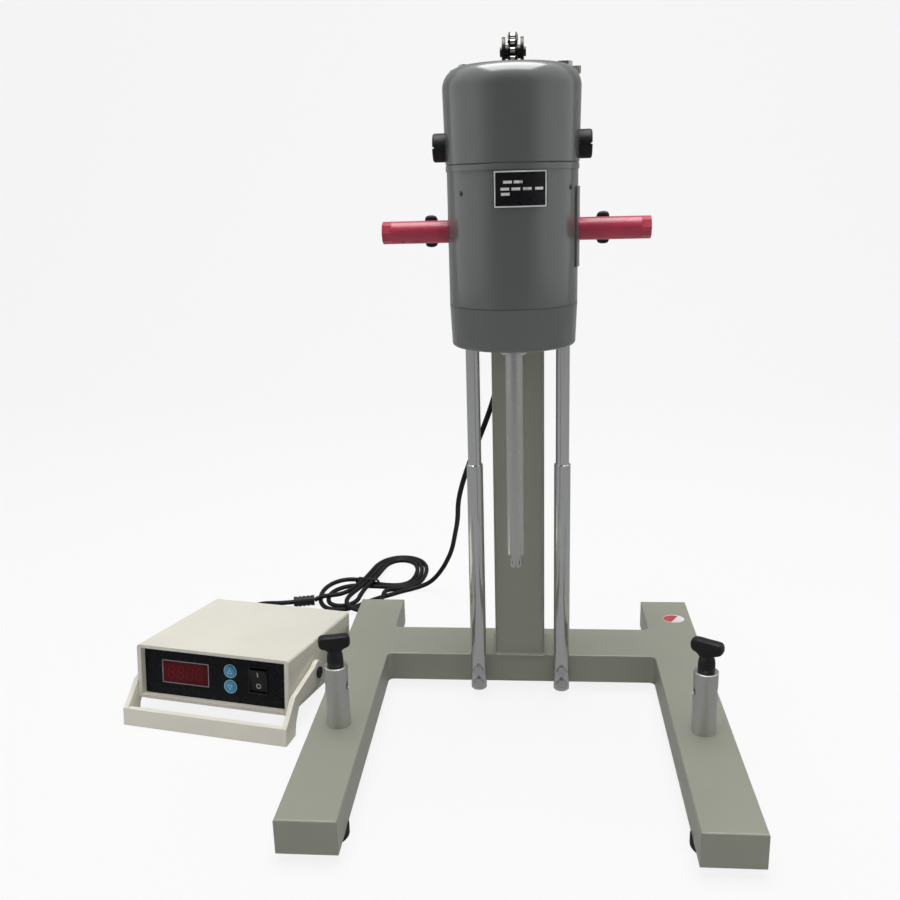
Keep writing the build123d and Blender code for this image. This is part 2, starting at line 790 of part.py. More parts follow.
armature_r = 40.0
fan_bottom = bridge_height + plate_thickness + 3.0
with BuildPart() as armature:
    with BuildSketch(Plane.XY.offset(fan_bottom)):
        Circle(14.0)
        with PolarLocations(30.0, 7):
            Rectangle(44.0, 2.5)
        Circle(main_shaft_r + running / 2, mode=Mode.SUBTRACT)
    extrude(amount=10.0)
    lathe([
        (main_shaft_r + running / 2, field_bottom),
        (armature_r, field_bottom),
        (armature_r, field_top),
        (main_shaft_r + running / 2, field_top),
    ])
save(armature.part, "armature")

# ---------------------------------------------------------------- carriage
carriage_height = carriage_top - carriage_bottom
web_back = body_r + carriage_web - 1.5
with BuildPart() as carriage:
    with BuildSketch(Plane.XY.offset(carriage_bottom)):
        with Locations(*[(x, rod_y) for x in rod_xs]):
            Circle(boss_r)
        with Locations(*[(x, (rod_y + web_back) / 2) for x in rod_xs]):
            Rectangle(2 * boss_r, rod_y - web_back)
        with Locations((stand_x, web_back - carriage_web / 2)):
            Rectangle(rod_spacing, carriage_web)
        with Locations((0, web_back - 15.0)):
            Rectangle(cradle_width, 30.0)
        Circle(body_r + seat_gap, mode=Mode.SUBTRACT)
        with Locations(*[(x, rod_y) for x in rod_xs]):
            Circle(bush_r + running / 2, mode=Mode.SUBTRACT)
    extrude(amount=carriage_height)
    lock_height = 653.7
    with BuildSketch(Plane.YZ.offset(stand_x)):
        with Locations((rod_y, lock_height)):
            Circle(8.0 / 2 + loose)
    extrude(amount=rod_spacing / 2 + 2 * boss_r, both=True, mode=Mode.SUBTRACT)
    with BuildSketch(Plane.YZ.offset(stand_x)):
        with Locations((rod_y, lock_height)):
            Circle(8.0)
    extrude(amount=rod_spacing / 2 - bush_r, both=True, mode=Mode.SUBTRACT)
save(carriage.part, "carriage")

with BuildPart() as slide_bushes:
    ends = (
        (carriage_bottom - bush_flange, carriage_bottom + bush_length, carriage_bottom),
        (carriage_top - bush_length, carriage_top + bush_flange, carriage_top + bush_flange),
    )
    for low, high, flange_top in ends:
        with BuildSketch(Plane.XY.offset(low)):
            with Locations(*[(x, rod_y) for x in rod_xs]):
                Circle(bush_r)
        extrude(amount=high - low)
        with BuildSketch(Plane.XY.offset(flange_top - bush_flange)):
            with Locations(*[(x, rod_y) for x in rod_xs]):
                Circle(bush_r + bush_wall - 1.0)
        extrude(amount=bush_flange)
    with BuildSketch(Plane.XY.offset(carriage_bottom - bush_flange)):
        with Locations(*[(x, rod_y) for x in rod_xs]):
            Circle(rod_dia / 2 + running)
    extrude(amount=carriage_height + 2 * bush_flange, mode=Mode.SUBTRACT)
save(slide_bushes.part, "slide_bushes")

anchor_bottom = carriage_top - 16.0
anchor_width = 28.0
cheek = 6.3
with BuildPart() as chain_anchor:
    with BuildSketch(Plane.XY.offset(anchor_bottom)):
        with Locations((0, (web_back + 88.5) / 2)):
            Rectangle(anchor_width, 88.5 - web_back)
        for direction in (-1, 1):
            with Locations((direction * (anchor_width - cheek) / 2, (web_back + 101.0) / 2)):
                Rectangle(cheek, 101.0 - web_back)
    extrude(amount=20.0)
save(chain_anchor.part, "chain_anchor")


# ---------------------------------------------------------------- knobs and posts
def t_knob(seat, stud_length, knob_stud_dia):
    """A T-shaped clamp knob standing on the plane, its wing along the plane's x axis."""
    wing = Plane(origin=seat.origin, x_dir=seat.x_dir, z_dir=-seat.y_dir)
    shank_r = knob_shank_dia / 2
    wing_drop = 10.0
    with BuildPart() as knob:
        with BuildSketch(wing):
            Polygon(
                (-shank_r + 2.0, knob_height * 0.25),
                (-knob_wing / 2, knob_height - wing_drop),
                (-knob_wing / 2, knob_height),
                (knob_wing / 2, knob_height),
                (knob_wing / 2, knob_height - wing_drop),
                (shank_r - 2.0, knob_height * 0.25),
                align=None,
            )
        extrude(amount=knob_thickness / 2, both=True)
        fillet(knob.edges(), 1.5)
        with BuildSketch(seat):
            Circle(shank_r)
        extrude(amount=knob_height * 0.6)
        with BuildSketch(seat):
            Circle(knob_stud_dia / 2)
        extrude(amount=-stud_length)
    return knob.part


for side, direction in sides.items():
    seat_x = stand_x + direction * (rod_spacing / 2 + boss_r)
    seat = Plane(origin=(seat_x, rod_y, lock_height), x_dir=(0, 0, 1), z_dir=(direction, 0, 0))
    save(t_knob(seat, boss_r - rod_dia / 2 - 0.5, 8.0), f"lock_knob_{side}")

post_turns = {"left": 15.0, "right": -33.0}
post_top = base_top + post_height
bore_z = base_top + post_bore_height
for (side, direction), (x, _) in zip(sides.items(), leg_places):
    with BuildPart() as post:
        with BuildSketch(Plane.XY.offset(base_top)):
            with Locations((x, post_y)):
                Circle(post_dia / 2)
        extrude(amount=post_height)
        chamfer(post.edges().group_by(Axis.Z)[-1], 1.0)
        with BuildSketch(Plane.XY.offset(bore_z)):
            with Locations((x, post_y)):
                Circle(clamp_screw_dia / 2 + loose)
        extrude(amount=post_height, mode=Mode.SUBTRACT)
        with BuildSketch(Plane.YZ.offset(x)):
            with Locations((post_y, bore_z)):
                Circle(post_bore_dia / 2)
        extrude(amount=post_dia, both=True, mode=Mode.SUBTRACT)
        with BuildSketch(Plane.XY.offset(base_top)):
            with Locations((x, post_y)):
                Circle(clamp_screw_dia / 2 + loose)
        extrude(amount=20.0, mode=Mode.SUBTRACT)
    save(post.part, f"post_{side}")

    turn = radians(post_turns[side])
    seat = Plane(origin=(x, post_y, post_top), x_dir=(cos(turn), sin(turn), 0), z_dir=(0, 0, 1))
    stud_length = post_height - post_bore_height - post_bore_dia / 2 - 1.0
    save(t_knob(seat, stud_length, clamp_screw_dia), f"post_knob_{side}")

# ---------------------------------------------------------------- control box
yaw = radians(box_yaw)
tilt = radians(box_tilt)
ahead = Vector(-sin(yaw), cos(yaw), 0)
box_frame = Plane(
    origin=(box_x, box_y, box_depth * sin(tilt)),
    x_dir=(cos(yaw), sin(yaw), 0),
    z_dir=ahead * sin(tilt) + Vector(0, 0, cos(tilt)),
)


def save_in_box(piece, label):
    """Place a piece that was drawn in the box's own frame and save it."""
    save(piece.moved(box_frame.location), label)


def turned(points, centre, angle):
    """Points turned about a centre, in degrees."""
    c = cos(radians(angle))
    s = sin(radians(angle))
    moved = []
    for u, v in points:
        du = u - centre[0]
        dv = v - centre[1]
        moved.append((centre[0] + c * du - s * dv, centre[1] + s * du + c * dv))
    return moved


half_w = box_width / 2
opening_width = box_width - 12.0
opening_low = 4.5
opening_high = box_height - 4.5
opening_mid = (opening_low + opening_high) / 2
pad_size = (26.0, 14.0, 4.0)
pad_x = half_w - 24.0
pivot_dia = 8.0

with BuildPart() as case_base:
    with BuildSketch():
        with Locations((0, (bezel_depth + box_depth) / 2)):
            Rectangle(box_width, box_depth - bezel_depth)
    extrude(amount=split_height)
    with BuildSketch(Plane.XY.offset(case_wall)):
        with Locations((0, (bezel_depth + box_depth) / 2)):
            Rectangle(box_width - 2 * case_wall, box_depth - bezel_depth - 2 * case_wall)
        with Locations((0, bezel_depth)):
            Rectangle(box_width - 2 * case_wall, 4 * case_wall)
    extrude(amount=split_height, mode=Mode.SUBTRACT)
    with BuildSketch():
        for x in (-pad_x, pad_x):
            with Locations((x, box_depth - pad_size[1] / 2)):
                Rectangle(pad_size[0], pad_size[1])
    extrude(amount=pad_size[2], mode=Mode.SUBTRACT)
save_in_box(case_base.part, "case_base")

with BuildPart() as case_feet:
    with BuildSketch():
        for x in (-pad_x, pad_x):
            with Locations((x, box_depth - pad_size[1] / 2)):
                Rectangle(pad_size[0], pad_size[1])
    extrude(amount=pad_size[2])
save_in_box(case_feet.part, "case_feet")

socket_place = (-96.0, 38.0)
socket_r = 9.0
with BuildPart() as case_cover:
    with BuildSketch(Plane.XY.offset(split_height)):
        with Locations((0, (bezel_depth + box_depth) / 2)):
            Rectangle(box_width, box_depth - bezel_depth)
    extrude(amount=box_height - split_height)
    with BuildSketch(Plane.XY.offset(split_height)):
        with Locations((0, (bezel_depth + box_depth) / 2)):
            Rectangle(box_width - 2 * case_wall, box_depth - bezel_depth - 2 * case_wall)
        with Locations((0, bezel_depth)):
            Rectangle(box_width - 2 * case_wall, 4 * case_wall)
    extrude(amount=box_height - split_height - case_wall, mode=Mode.SUBTRACT)
    top_outline = case_cover.faces().sort_by(Axis.Z)[-1].outer_wire().edges()
    fillet(top_outline.filter_by(Axis.Y), 4.0)
    with BuildSketch(Plane.XZ.offset(-box_depth)):
        with Locations(socket_place):
            Circle(socket_r + running)
    extrude(amount=2 * case_wall, mode=Mode.SUBTRACT)
    with BuildSketch(Plane.YZ.offset(-box_width)):
        with Locations(bail_pivot):
            Circle(pivot_dia / 2 + running)
    extrude(amount=2 * box_width, mode=Mode.SUBTRACT)
save_in_box(case_cover.part, "case_cover")

with BuildPart() as front_frame:
    with BuildSketch(Plane.XZ):
        with Locations((0, box_height / 2)):
            RectangleRounded(box_width, box_height, 4.0)
        with Locations((0, opening_mid)):
            Rectangle(opening_width, opening_high - opening_low, mode=Mode.SUBTRACT)
    extrude(amount=-bezel_depth)
save_in_box(front_frame.part, "front_frame")

with BuildPart() as front_panel:
    with BuildSketch(Plane.XZ.offset(-panel_recess)):
        with Locations((0, opening_mid)):
            Rectangle(
                opening_width - 2 * running, opening_high - opening_low - 2 * running
            )
        with Locations(*button_places):
            Circle(button_dia / 2 + loose, mode=Mode.SUBTRACT)
        with Locations(rocker_place):
            Rectangle(rocker_size[0] + 1.0, rocker_size[1] + 1.0, mode=Mode.SUBTRACT)
    extrude(amount=-panel_thickness)
save_in_box(front_panel.part, "front_panel")

with BuildPart() as display_window:
    with BuildSketch(Plane.XZ.offset(-panel_recess)):
        with Locations(window_place):
            Rectangle(*window_size)
    extrude(amount=0.8)
save_in_box(display_window.part, "display_window")

with BuildPart() as rocker_bezel:
    with BuildSketch(Plane.XZ.offset(-panel_recess)):
        with Locations(rocker_place):
            Rectangle(rocker_size[0] + 4.0, rocker_size[1] + 4.0)
            Rectangle(rocker_size[0] + 0.6, rocker_size[1] + 0.6, mode=Mode.SUBTRACT)
    extrude(amount=1.5)
save_in_box(rocker_bezel.part, "rocker_bezel")

rocker_axis = (panel_recess + 4.0, rocker_place[1])
rocker_half = rocker_size[1] / 2 - 1.3
rocker_rest = 9.0
rocker_section = turned(
    [
        (rocker_axis[0] + 4.0, rocker_axis[1] - 8.0),
        (rocker_axis[0] + 4.0, rocker_axis[1] + 8.0),
        (rocker_axis[0] - 5.0, rocker_axis[1] + rocker_half),
        (rocker_axis[0] - 4.2, rocker_axis[1]),
        (rocker_axis[0] - 5.0, rocker_axis[1] - rocker_half),
    ],
    rocker_axis,
    rocker_rest,
)
with BuildPart() as rocker_switch:
    with BuildSketch(Plane.YZ.offset(rocker_place[0])):
        Polygon(*rocker_section, align=None)
    extrude(amount=rocker_size[0] / 2, both=True)
save_in_box(rocker_switch.part, "rocker_switch")

for name, place in zip(("up", "down"), button_places):
    with BuildPart() as button:
        with BuildSketch(Plane.XZ.offset(-panel_recess - panel_thickness)):
            with Locations(place):
                Circle(button_dia / 2)
        extrude(amount=panel_thickness + button_proud)
        chamfer(button.edges().group_by(Axis.Y)[0], 0.5)
    save_in_box(button.part, f"button_{name}")

with BuildPart() as rear_socket:
    with BuildSketch(Plane.XZ.offset(-box_depth + case_wall)):
        with Locations(socket_place):
            Circle(socket_r)
    extrude(amount=-case_wall - 10.0)
    with BuildSketch(Plane.XZ.offset(-box_depth)):
        with Locations(socket_place):
            Circle(socket_r + 2.0)
    extrude(amount=-1.5)
save_in_box(rear_socket.part, "rear_socket")

plug_back = box_depth + 10.0
with BuildPart() as cable_plug:
    with BuildSketch(Plane.XZ.offset(-plug_back)):
        with Locations(socket_place):
            Circle(socket_r + 1.0)
    extrude(amount=-14.0)
    with BuildSketch(Plane.XZ.offset(-plug_back - 14.0)):
        with Locations(socket_place):
            Circle(socket_r - 2.0)
    extrude(amount=-10.0)
save_in_box(cable_plug.part, "cable_plug")

# The bail, cut so that its feet lie flat on the bench
bench_slope = tan(tilt)


def bench_height(y):
    """The height of the bench under the box, in the box's own frame."""
    return (y - box_depth) * bench_slope


bar_front = -26.0
bar_thickness = 9.0
bar_high = 24.0
arm_inner = half_w + bail_gap
hub_y, hub_z = bail_pivot
arm_points = [
    (hub_y - 12.0, hub_z + 12.0),
    (3.0, 26.0),
    (-15.0, 4.0),
    (bar_front, bench_height(bar_front) + bar_high),
    (bar_front, bench_height(bar_front)),
    (2.0, bench_height(2.0)),
    (5.0, -10.0),
    (17.0, 12.0),
    (hub_y, hub_z - bail_hub),
]
with BuildPart() as bail:
    for direction in (-1, 1):
        with BuildSketch(Plane.YZ.offset(direction * arm_inner)):
            Polygon(*arm_points, align=None)
            with Locations(bail_pivot):
                Circle(bail_hub)
            with Locations(bail_pivot):
                Circle(pivot_dia / 2 + running, mode=Mode.SUBTRACT)
        extrude(amount=direction * bail_thickness)
    with BuildSketch(Plane.YZ):
        Polygon(
            (bar_front, bench_height(bar_front)),
            (bar_front + bar_thickness, bench_height(bar_front + bar_thickness)),
            (bar_front + bar_thickness, bench_height(bar_front) + bar_high),
            (bar_front, bench_height(bar_front) + bar_high),
            align=None,
        )
    extrude(amount=arm_inner + bail_thickness, both=True)
save_in_box(bail.part, "bail")

with BuildPart() as bail_pivots:
    for direction in (-1, 1):
        with BuildSketch(Plane.YZ.offset(direction * (half_w - case_wall))):
            with Locations(bail_pivot):
                Circle(pivot_dia / 2)
        extrude(amount=direction * (case_wall + bail_gap + bail_thickness + seat_gap))
        with BuildSketch(Plane.YZ.offset(direction * (arm_inner + bail_thickness + seat_gap))):
            with Locations(bail_pivot):
                Circle(pivot_dia)
        extrude(amount=direction * 2.5)
save_in_box(bail_pivots.part, "bail_pivots")

# ---------------------------------------------------------------- cable
cable_r = cable_dia / 2
bench_lay = cable_r + 0.05
hank_height = 16.0
# The hank's outer shape: two lobes that meet where the turns cross, from (x, y, radius)
hank_cross = (-281.0, 462.0, 22.0)
hank_right = ((-235.0, 560.0, 48.0), (-210.0, 478.0, 34.0))
hank_left = ((-321.0, 457.0, 42.0), (-326.0, 396.0, 38.5), (-274.0, 374.0, 31.0))
with BuildPart() as cable_hank:
    for lobe in (hank_left, hank_right):
        with BuildSketch():
            for x, y, radius in (*lobe, hank_cross):
                with Locations((x, y)):
                    Circle(radius)
            make_hull()
        extrude(amount=hank_height)
save(cable_hank.part, "cable_hank")

head_run = [
    (gland_x, gland_reach, gland_height),
    (gland_x, 130.0, gland_height),
    (-39.0, 166.0, 703.0),
    (-33.0, 192.0, 676.0),
    (-24.0, 202.0, 638.0),
    (-18.0, 204.0, 590.0),
    (-16.0, 206.0, 540.0),
    (-18.0, 207.0, 490.0),
    (-24.0, 209.0, 445.0),
    (-37.0, 213.0, 398.0),
    (-57.0, 227.0, 345.0),
    (-79.0, 250.0, 289.0),
    (-96.0, 290.0, 229.0),
    (-101.0, 338.0, 178.0),
    (-110.0, 380.0, 136.0),
    (-118.0, 408.0, 98.0),
    (-131.0, 431.0, 64.0),
    (-146.0, 444.0, 37.0),
    (-162.0, 450.0, 18.0),
    (-180.0, 453.0, 8.0),
    (-198.0, 459.0, bench_lay),
]
coupling_r = 9.0
coupling_length = 36.0
coupling_start = Vector(-363.4, 386.2, coupling_r)
coupling_way = Vector(-0.967, -0.254, 0)
coupling_end = coupling_start + coupling_way * coupling_length
coupling_seat = Plane(origin=coupling_start, x_dir=(0, 0, 1), z_dir=coupling_way)
with BuildPart() as cable_coupling:
    with BuildSketch(coupling_seat):
        Circle(coupling_r)
    extrude(amount=coupling_length)
    rings = 5
    ring_pitch = coupling_length / rings
    for k in range(1, rings):
        with BuildSketch(coupling_seat.offset(k * ring_pitch - 1.0)):
            Circle(coupling_r)
            Circle(coupling_r - 1.2, mode=Mode.SUBTRACT)
        extrude(amount=2.0, mode=Mode.SUBTRACT)
save(cable_coupling.part, "cable_coupling")

plug_end = box_frame.from_local_coords((socket_place[0], plug_back + 24.0, socket_place[1]))
plug_lead = box_frame.from_local_coords((socket_place[0], plug_back + 60.0, socket_place[1]))
box_run = [
    tuple(coupling_end),
    (-419.47, 371.51, 9.0),
    (-438.0, 358.0, 15.0),
    (-450.2, 338.5, 22.0),
    tuple(plug_lead),
    tuple(plug_end),
]


def cord(points, section_dia, label, meets=None):
    """A round cord through the points, with wide bends, cut off flush at the solid it meets."""
    corners = [Vector(*p) for p in points]
    radii = []
    for before, here, after in zip(corners, corners[1:], corners[2:]):
        inward = here - before
        outward = after - here
        half = radians(inward.get_angle(outward)) / 2
        radii.append(0.45 * min(inward.length, outward.length) / tan(half))
    print(label, "bend radii", [round(r) for r in radii])
    with BuildPart() as tube:
        with BuildLine() as path:
            FilletPolyline(*corners, radius=radii)
        with BuildSketch(path.line ^ 0):
            Circle(section_dia / 2)
        sweep(path=path.line)
        swept_volume = tube.part.volume
        if meets:
            add(meets, mode=Mode.SUBTRACT)
    expected = path.wires()[0].length * pi * section_dia**2 / 4
    print(label, "length", round(path.wires()[0].length), "volume ratio", swept_volume / expected)
    save(tube.part, label)


cord(head_run, cable_dia, "motor_cable", cable_hank.part)
cord(box_run, cable_dia, "box_cable")
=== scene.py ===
"""Looks of the rotor stator homogenizer: materials, smooth housings, cable, labels and light."""

import json
import math

import bmesh
import bpy
from mathutils import Matrix, Vector


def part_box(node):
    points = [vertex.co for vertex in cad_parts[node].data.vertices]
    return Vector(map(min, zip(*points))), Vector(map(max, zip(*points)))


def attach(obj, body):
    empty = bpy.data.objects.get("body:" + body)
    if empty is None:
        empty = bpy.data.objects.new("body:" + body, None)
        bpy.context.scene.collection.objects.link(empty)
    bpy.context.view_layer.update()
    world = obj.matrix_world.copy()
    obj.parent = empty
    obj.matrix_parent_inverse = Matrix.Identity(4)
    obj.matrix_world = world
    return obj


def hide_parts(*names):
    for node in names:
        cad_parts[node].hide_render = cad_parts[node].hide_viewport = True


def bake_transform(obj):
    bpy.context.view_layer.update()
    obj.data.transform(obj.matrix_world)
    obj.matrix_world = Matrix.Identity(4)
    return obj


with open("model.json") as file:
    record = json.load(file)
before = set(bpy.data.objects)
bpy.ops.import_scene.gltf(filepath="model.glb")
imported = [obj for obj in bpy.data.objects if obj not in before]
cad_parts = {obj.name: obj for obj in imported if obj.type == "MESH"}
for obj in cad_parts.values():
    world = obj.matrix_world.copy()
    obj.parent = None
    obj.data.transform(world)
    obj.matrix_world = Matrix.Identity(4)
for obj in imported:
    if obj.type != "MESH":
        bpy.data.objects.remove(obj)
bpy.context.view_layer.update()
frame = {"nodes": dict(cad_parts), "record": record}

MM = 0.001


def mm(*values):
    """A vector in metres from millimetres."""
    return Vector(values) * MM


# ------------------------------------------------------------------ camera, as the photograph was taken
CAMERA_PLACE = mm(21.3, -1147.0, 707.9)
CAMERA_YAW = math.radians(-5.087)
CAMERA_PITCH = math.radians(15.412)
CAMERA_ROLL = math.radians(1.579)
SENSOR_WIDTH = 36.0
LENS = 38.2


def add_camera():
    """The camera at the photograph's place, without shift or depth of field."""
    forward = Vector(
        (
            math.sin(CAMERA_YAW) * math.cos(CAMERA_PITCH),
            math.cos(CAMERA_YAW) * math.cos(CAMERA_PITCH),
            -math.sin(CAMERA_PITCH),
        )
    )
    level = Vector((math.cos(CAMERA_YAW), -math.sin(CAMERA_YAW), 0))
    down = forward.cross(level)
    image_x = level * math.cos(CAMERA_ROLL) + down * math.sin(CAMERA_ROLL)
    image_down = down * math.cos(CAMERA_ROLL) - level * math.sin(CAMERA_ROLL)
    data = bpy.data.cameras.new("camera")
    data.sensor_width = SENSOR_WIDTH
    data.lens = LENS
    data.clip_end = 50
    camera = bpy.data.objects.new("camera", data)
    bpy.context.collection.objects.link(camera)
    turn = Matrix((image_x, -image_down, -forward)).transposed()
    camera.matrix_world = Matrix.Translation(CAMERA_PLACE) @ turn.to_4x4()
    bpy.context.scene.camera = camera


# ------------------------------------------------------------------ materials
class Finish:
    """A node-built material: a Principled shader with its inputs driven by procedural noise."""

    def __init__(self, name, color, roughness, metallic=0.0, coat=0.0, specular=0.5):
        self.material = bpy.data.materials.new(name)
        self.material.use_nodes = True
        self.tree = self.material.node_tree
        self.shader = self.tree.nodes["Principled BSDF"]
        self.shader.inputs["Base Color"].default_value = (*color, 1)
        self.shader.inputs["Roughness"].default_value = roughness
        self.shader.inputs["Metallic"].default_value = metallic
        self.shader.inputs["Coat Weight"].default_value = coat
        self.shader.inputs["Coat Roughness"].default_value = 0.08
        self.shader.inputs["Specular IOR Level"].default_value = specular
        self.place = self.tree.nodes.new("ShaderNodeTexCoord")
        self.bumps = None

    def noise(self, scale, detail=3.0, stretch=(1, 1, 1)):
        """The output of a noise texture at so many features per metre."""
        mapping = self.tree.nodes.new("ShaderNodeMapping")
        mapping.inputs["Scale"].default_value = stretch
        self.tree.links.new(self.place.outputs["Object"], mapping.inputs["Vector"])
        texture = self.tree.nodes.new("ShaderNodeTexNoise")
        texture.inputs["Scale"].default_value = scale
        texture.inputs["Detail"].default_value = detail
        self.tree.links.new(mapping.outputs["Vector"], texture.inputs["Vector"])
        return texture.outputs["Fac"]

    def spread(self, value, low, high, start=0.3, end=0.7):
        """A value mapped from the noise's middle range to low..high."""
        ranged = self.tree.nodes.new("ShaderNodeMapRange")
        ranged.inputs["From Min"].default_value = start
        ranged.inputs["From Max"].default_value = end
        ranged.inputs["To Min"].default_value = low
        ranged.inputs["To Max"].default_value = high
        self.tree.links.new(value, ranged.inputs["Value"])
        return ranged.outputs["Result"]

    def mottle(self, color, other, value):
        """The base colour drifts between two tones with the noise value."""
        mix = self.tree.nodes.new("ShaderNodeMix")
        mix.data_type = "RGBA"
        mix.inputs[6].default_value = (*color, 1)
        mix.inputs[7].default_value = (*other, 1)
        self.tree.links.new(value, mix.inputs[0])
        self.tree.links.new(mix.outputs[2], self.shader.inputs["Base Color"])

    def rough(self, value, low, high):
        """The roughness drifts between two values."""
        self.tree.links.new(self.spread(value, low, high), self.shader.inputs["Roughness"])

    def relief(self, value, depth, strength=0.5):
        """A bump of that depth in metres, added to those there are."""
        bump = self.tree.nodes.new("ShaderNodeBump")
        bump.inputs["Distance"].default_value = depth
        bump.inputs["Strength"].default_value = strength
        self.tree.links.new(value, bump.inputs["Height"])
        if self.bumps is not None:
            self.tree.links.new(self.bumps, bump.inputs["Normal"])
        self.bumps = bump.outputs["Normal"]
        self.tree.links.new(self.bumps, self.shader.inputs["Normal"])

    def soften(self, radius):
        """Edges catch the light as if rounded to that radius."""
        bevel = self.tree.nodes.new("ShaderNodeBevel")
        bevel.samples = 4
        bevel.inputs["Radius"].default_value = radius
        self.bumps = bevel.outputs["Normal"]
        self.tree.links.new(self.bumps, self.shader.inputs["Normal"])


def tone(color, factor):
    """A colour made lighter or darker."""
    return tuple(min(1.0, c * factor) for c in color)


def painted(name, color, roughness, coat):
    """Sprayed enamel: a faint orange peel, with a slow drift of tone and of gloss."""
    finish = Finish(name, color, roughness, coat=coat)
    finish.soften(0.0008)
    drift = finish.spread(finish.noise(9.0, 4.0), 0.0, 1.0)
    finish.mottle(tone(color, 0.97), tone(color, 1.03), drift)
    finish.rough(finish.noise(35.0, 5.0), roughness - 0.02, roughness + 0.03)
    finish.relief(finish.noise(900.0, 2.0), 0.00003, 0.25)
    return finish.material


def turned_metal(name, color, roughness, stretch, grain=700.0, strength=0.35):
    """Bare metal with a grain: fine lines along the axis whose factor in stretch is small."""
    finish = Finish(name, color, roughness, metallic=1.0)
    lines = finish.noise(grain, 4.0, stretch)
    finish.soften(0.0004)
    finish.mottle(tone(color, 0.95), tone(color, 1.04), finish.spread(lines, 0.0, 1.0))
    finish.rough(lines, roughness - 0.03, roughness + 0.04)
    finish.relief(lines, 0.000006, strength)
    return finish.material


def moulded(name, color, roughness, grain=1400.0, depth=0.00005, coat=0.0, specular=0.5):
    """Moulded plastic or rubber with a fine pitted skin."""
    finish = Finish(name, color, roughness, coat=coat, specular=specular)
    finish.soften(0.0005)
    drift = finish.spread(finish.noise(40.0, 3.0), 0.0, 1.0)
    finish.mottle(tone(color, 0.85), tone(color, 1.15), drift)
    finish.rough(finish.noise(120.0, 4.0), roughness - 0.06, roughness + 0.08)
    finish.relief(finish.noise(grain, 2.0), depth, 0.5)
    return finish.material


def smooth_print(name, color, roughness, specular=0.5):
    """A printed film or label, much smoother than a moulding."""
    return moulded(name, color, roughness, 2500.0, 0.00001, specular=specular)


ALONG_Z = (1, 1, 0.05)
ENAMEL = (0.325, 0.330, 0.272)
MOTOR_GREY = (0.132, 0.144, 0.139)
CREAM = (0.78, 0.755, 0.665)
RASPBERRY = (0.50, 0.040, 0.085)

MATERIALS = {
    "enamel": painted("enamel", ENAMEL, 0.38, 0.25),
    "motor_paint": painted("motor_paint", MOTOR_GREY, 0.24, 0.7),
    "case_paint": painted("case_paint", CREAM, 0.42, 0.1),
    "chrome": turned_metal("chrome", (0.72, 0.73, 0.73), 0.10, ALONG_Z, 700.0, 0.12),
    "satin_steel": turned_metal("satin_steel", (0.64, 0.64, 0.63), 0.24, ALONG_Z, 700.0, 0.15),
    "zinc_steel": turned_metal("zinc_steel", (0.60, 0.61, 0.59), 0.33, (1, 1, 0.3), 500.0, 0.2),
    "chain_steel": turned_metal("chain_steel", (0.34, 0.33, 0.31), 0.32, (1, 1, 1)),
    "iron": turned_metal("iron", (0.20, 0.20, 0.20), 0.55, (1, 1, 1)),
    "bronze": turned_metal("bronze", (0.62, 0.46, 0.24), 0.35, (0.1, 0.1, 6)),
    "black_plastic": moulded("black_plastic", (0.012, 0.012, 0.013), 0.46, specular=0.28),
    "grip_plastic": moulded("grip_plastic", RASPBERRY, 0.33, 900.0, 0.00003, coat=0.2),
    "panel_black": smooth_print("panel_black", (0.006, 0.007, 0.009), 0.24, 0.16),
    "display_red": smooth_print("display_red", (0.105, 0.006, 0.010), 0.20, 0.16),
    "button_blue": moulded("button_blue", (0.055, 0.340, 0.580), 0.36),
    "rubber": moulded("rubber", (0.008, 0.008, 0.009), 0.50, 1800.0, 0.00005, specular=0.2),
    "label_black": smooth_print("label_black", (0.010, 0.010, 0.012), 0.30, 0.2),
}

# Tones of their own for single pieces, which keep their slot's name; the bail's tone is painted light,
# a lighter copy of the case cream
DIGITS = smooth_print("display_digits", (0.22, 0.014, 0.018), 0.3, 0.16)
WINDOW_BORDER = smooth_print("window_border", (0.34, 0.31, 0.36), 0.4)
BUTTON_RING = smooth_print("button_ring", (0.42, 0.68, 0.86), 0.4)
LABEL_WHITE = smooth_print("label_white", (0.80, 0.81, 0.80), 0.35)
SEAM = moulded("seam", (0.02, 0.022, 0.022), 0.6)
STICKER_RED = smooth_print("sticker_red", (0.55, 0.06, 0.08), 0.35)
# Painted light: the bail is the case's cream made lighter, to brighten its shaded, downward-facing
# faces
BAIL_CREAM_PAINTED_LIGHT = painted("bail_cream_painted_light", (0.86, 0.835, 0.735), 0.42, 0.1)
DARK_STEEL = turned_metal("dark_steel", (0.06, 0.06, 0.058), 0.34, (1, 1, 1))
SLEEVE = turned_metal("sleeve_chrome", (0.68, 0.69, 0.69), 0.11, ALONG_Z, 700.0, 0.12)


def dress(obj, slot_name):
    """Put the node-built material of one of the record's slots on an object."""
    material = MATERIALS[slot_name]
    if obj.material_slots:
        for slot in obj.material_slots:
            slot.link = "OBJECT"
            slot.material = material
    else:
        obj.data.materials.append(material)


def dress_frame():
    """Every CAD node that stays gets its slot's node-built material."""
    slots = {s["node"]: s["material_slot"] for s in frame["record"]["subparts"]}
    for node, obj in frame["nodes"].items():
        dress(obj, slots[node])


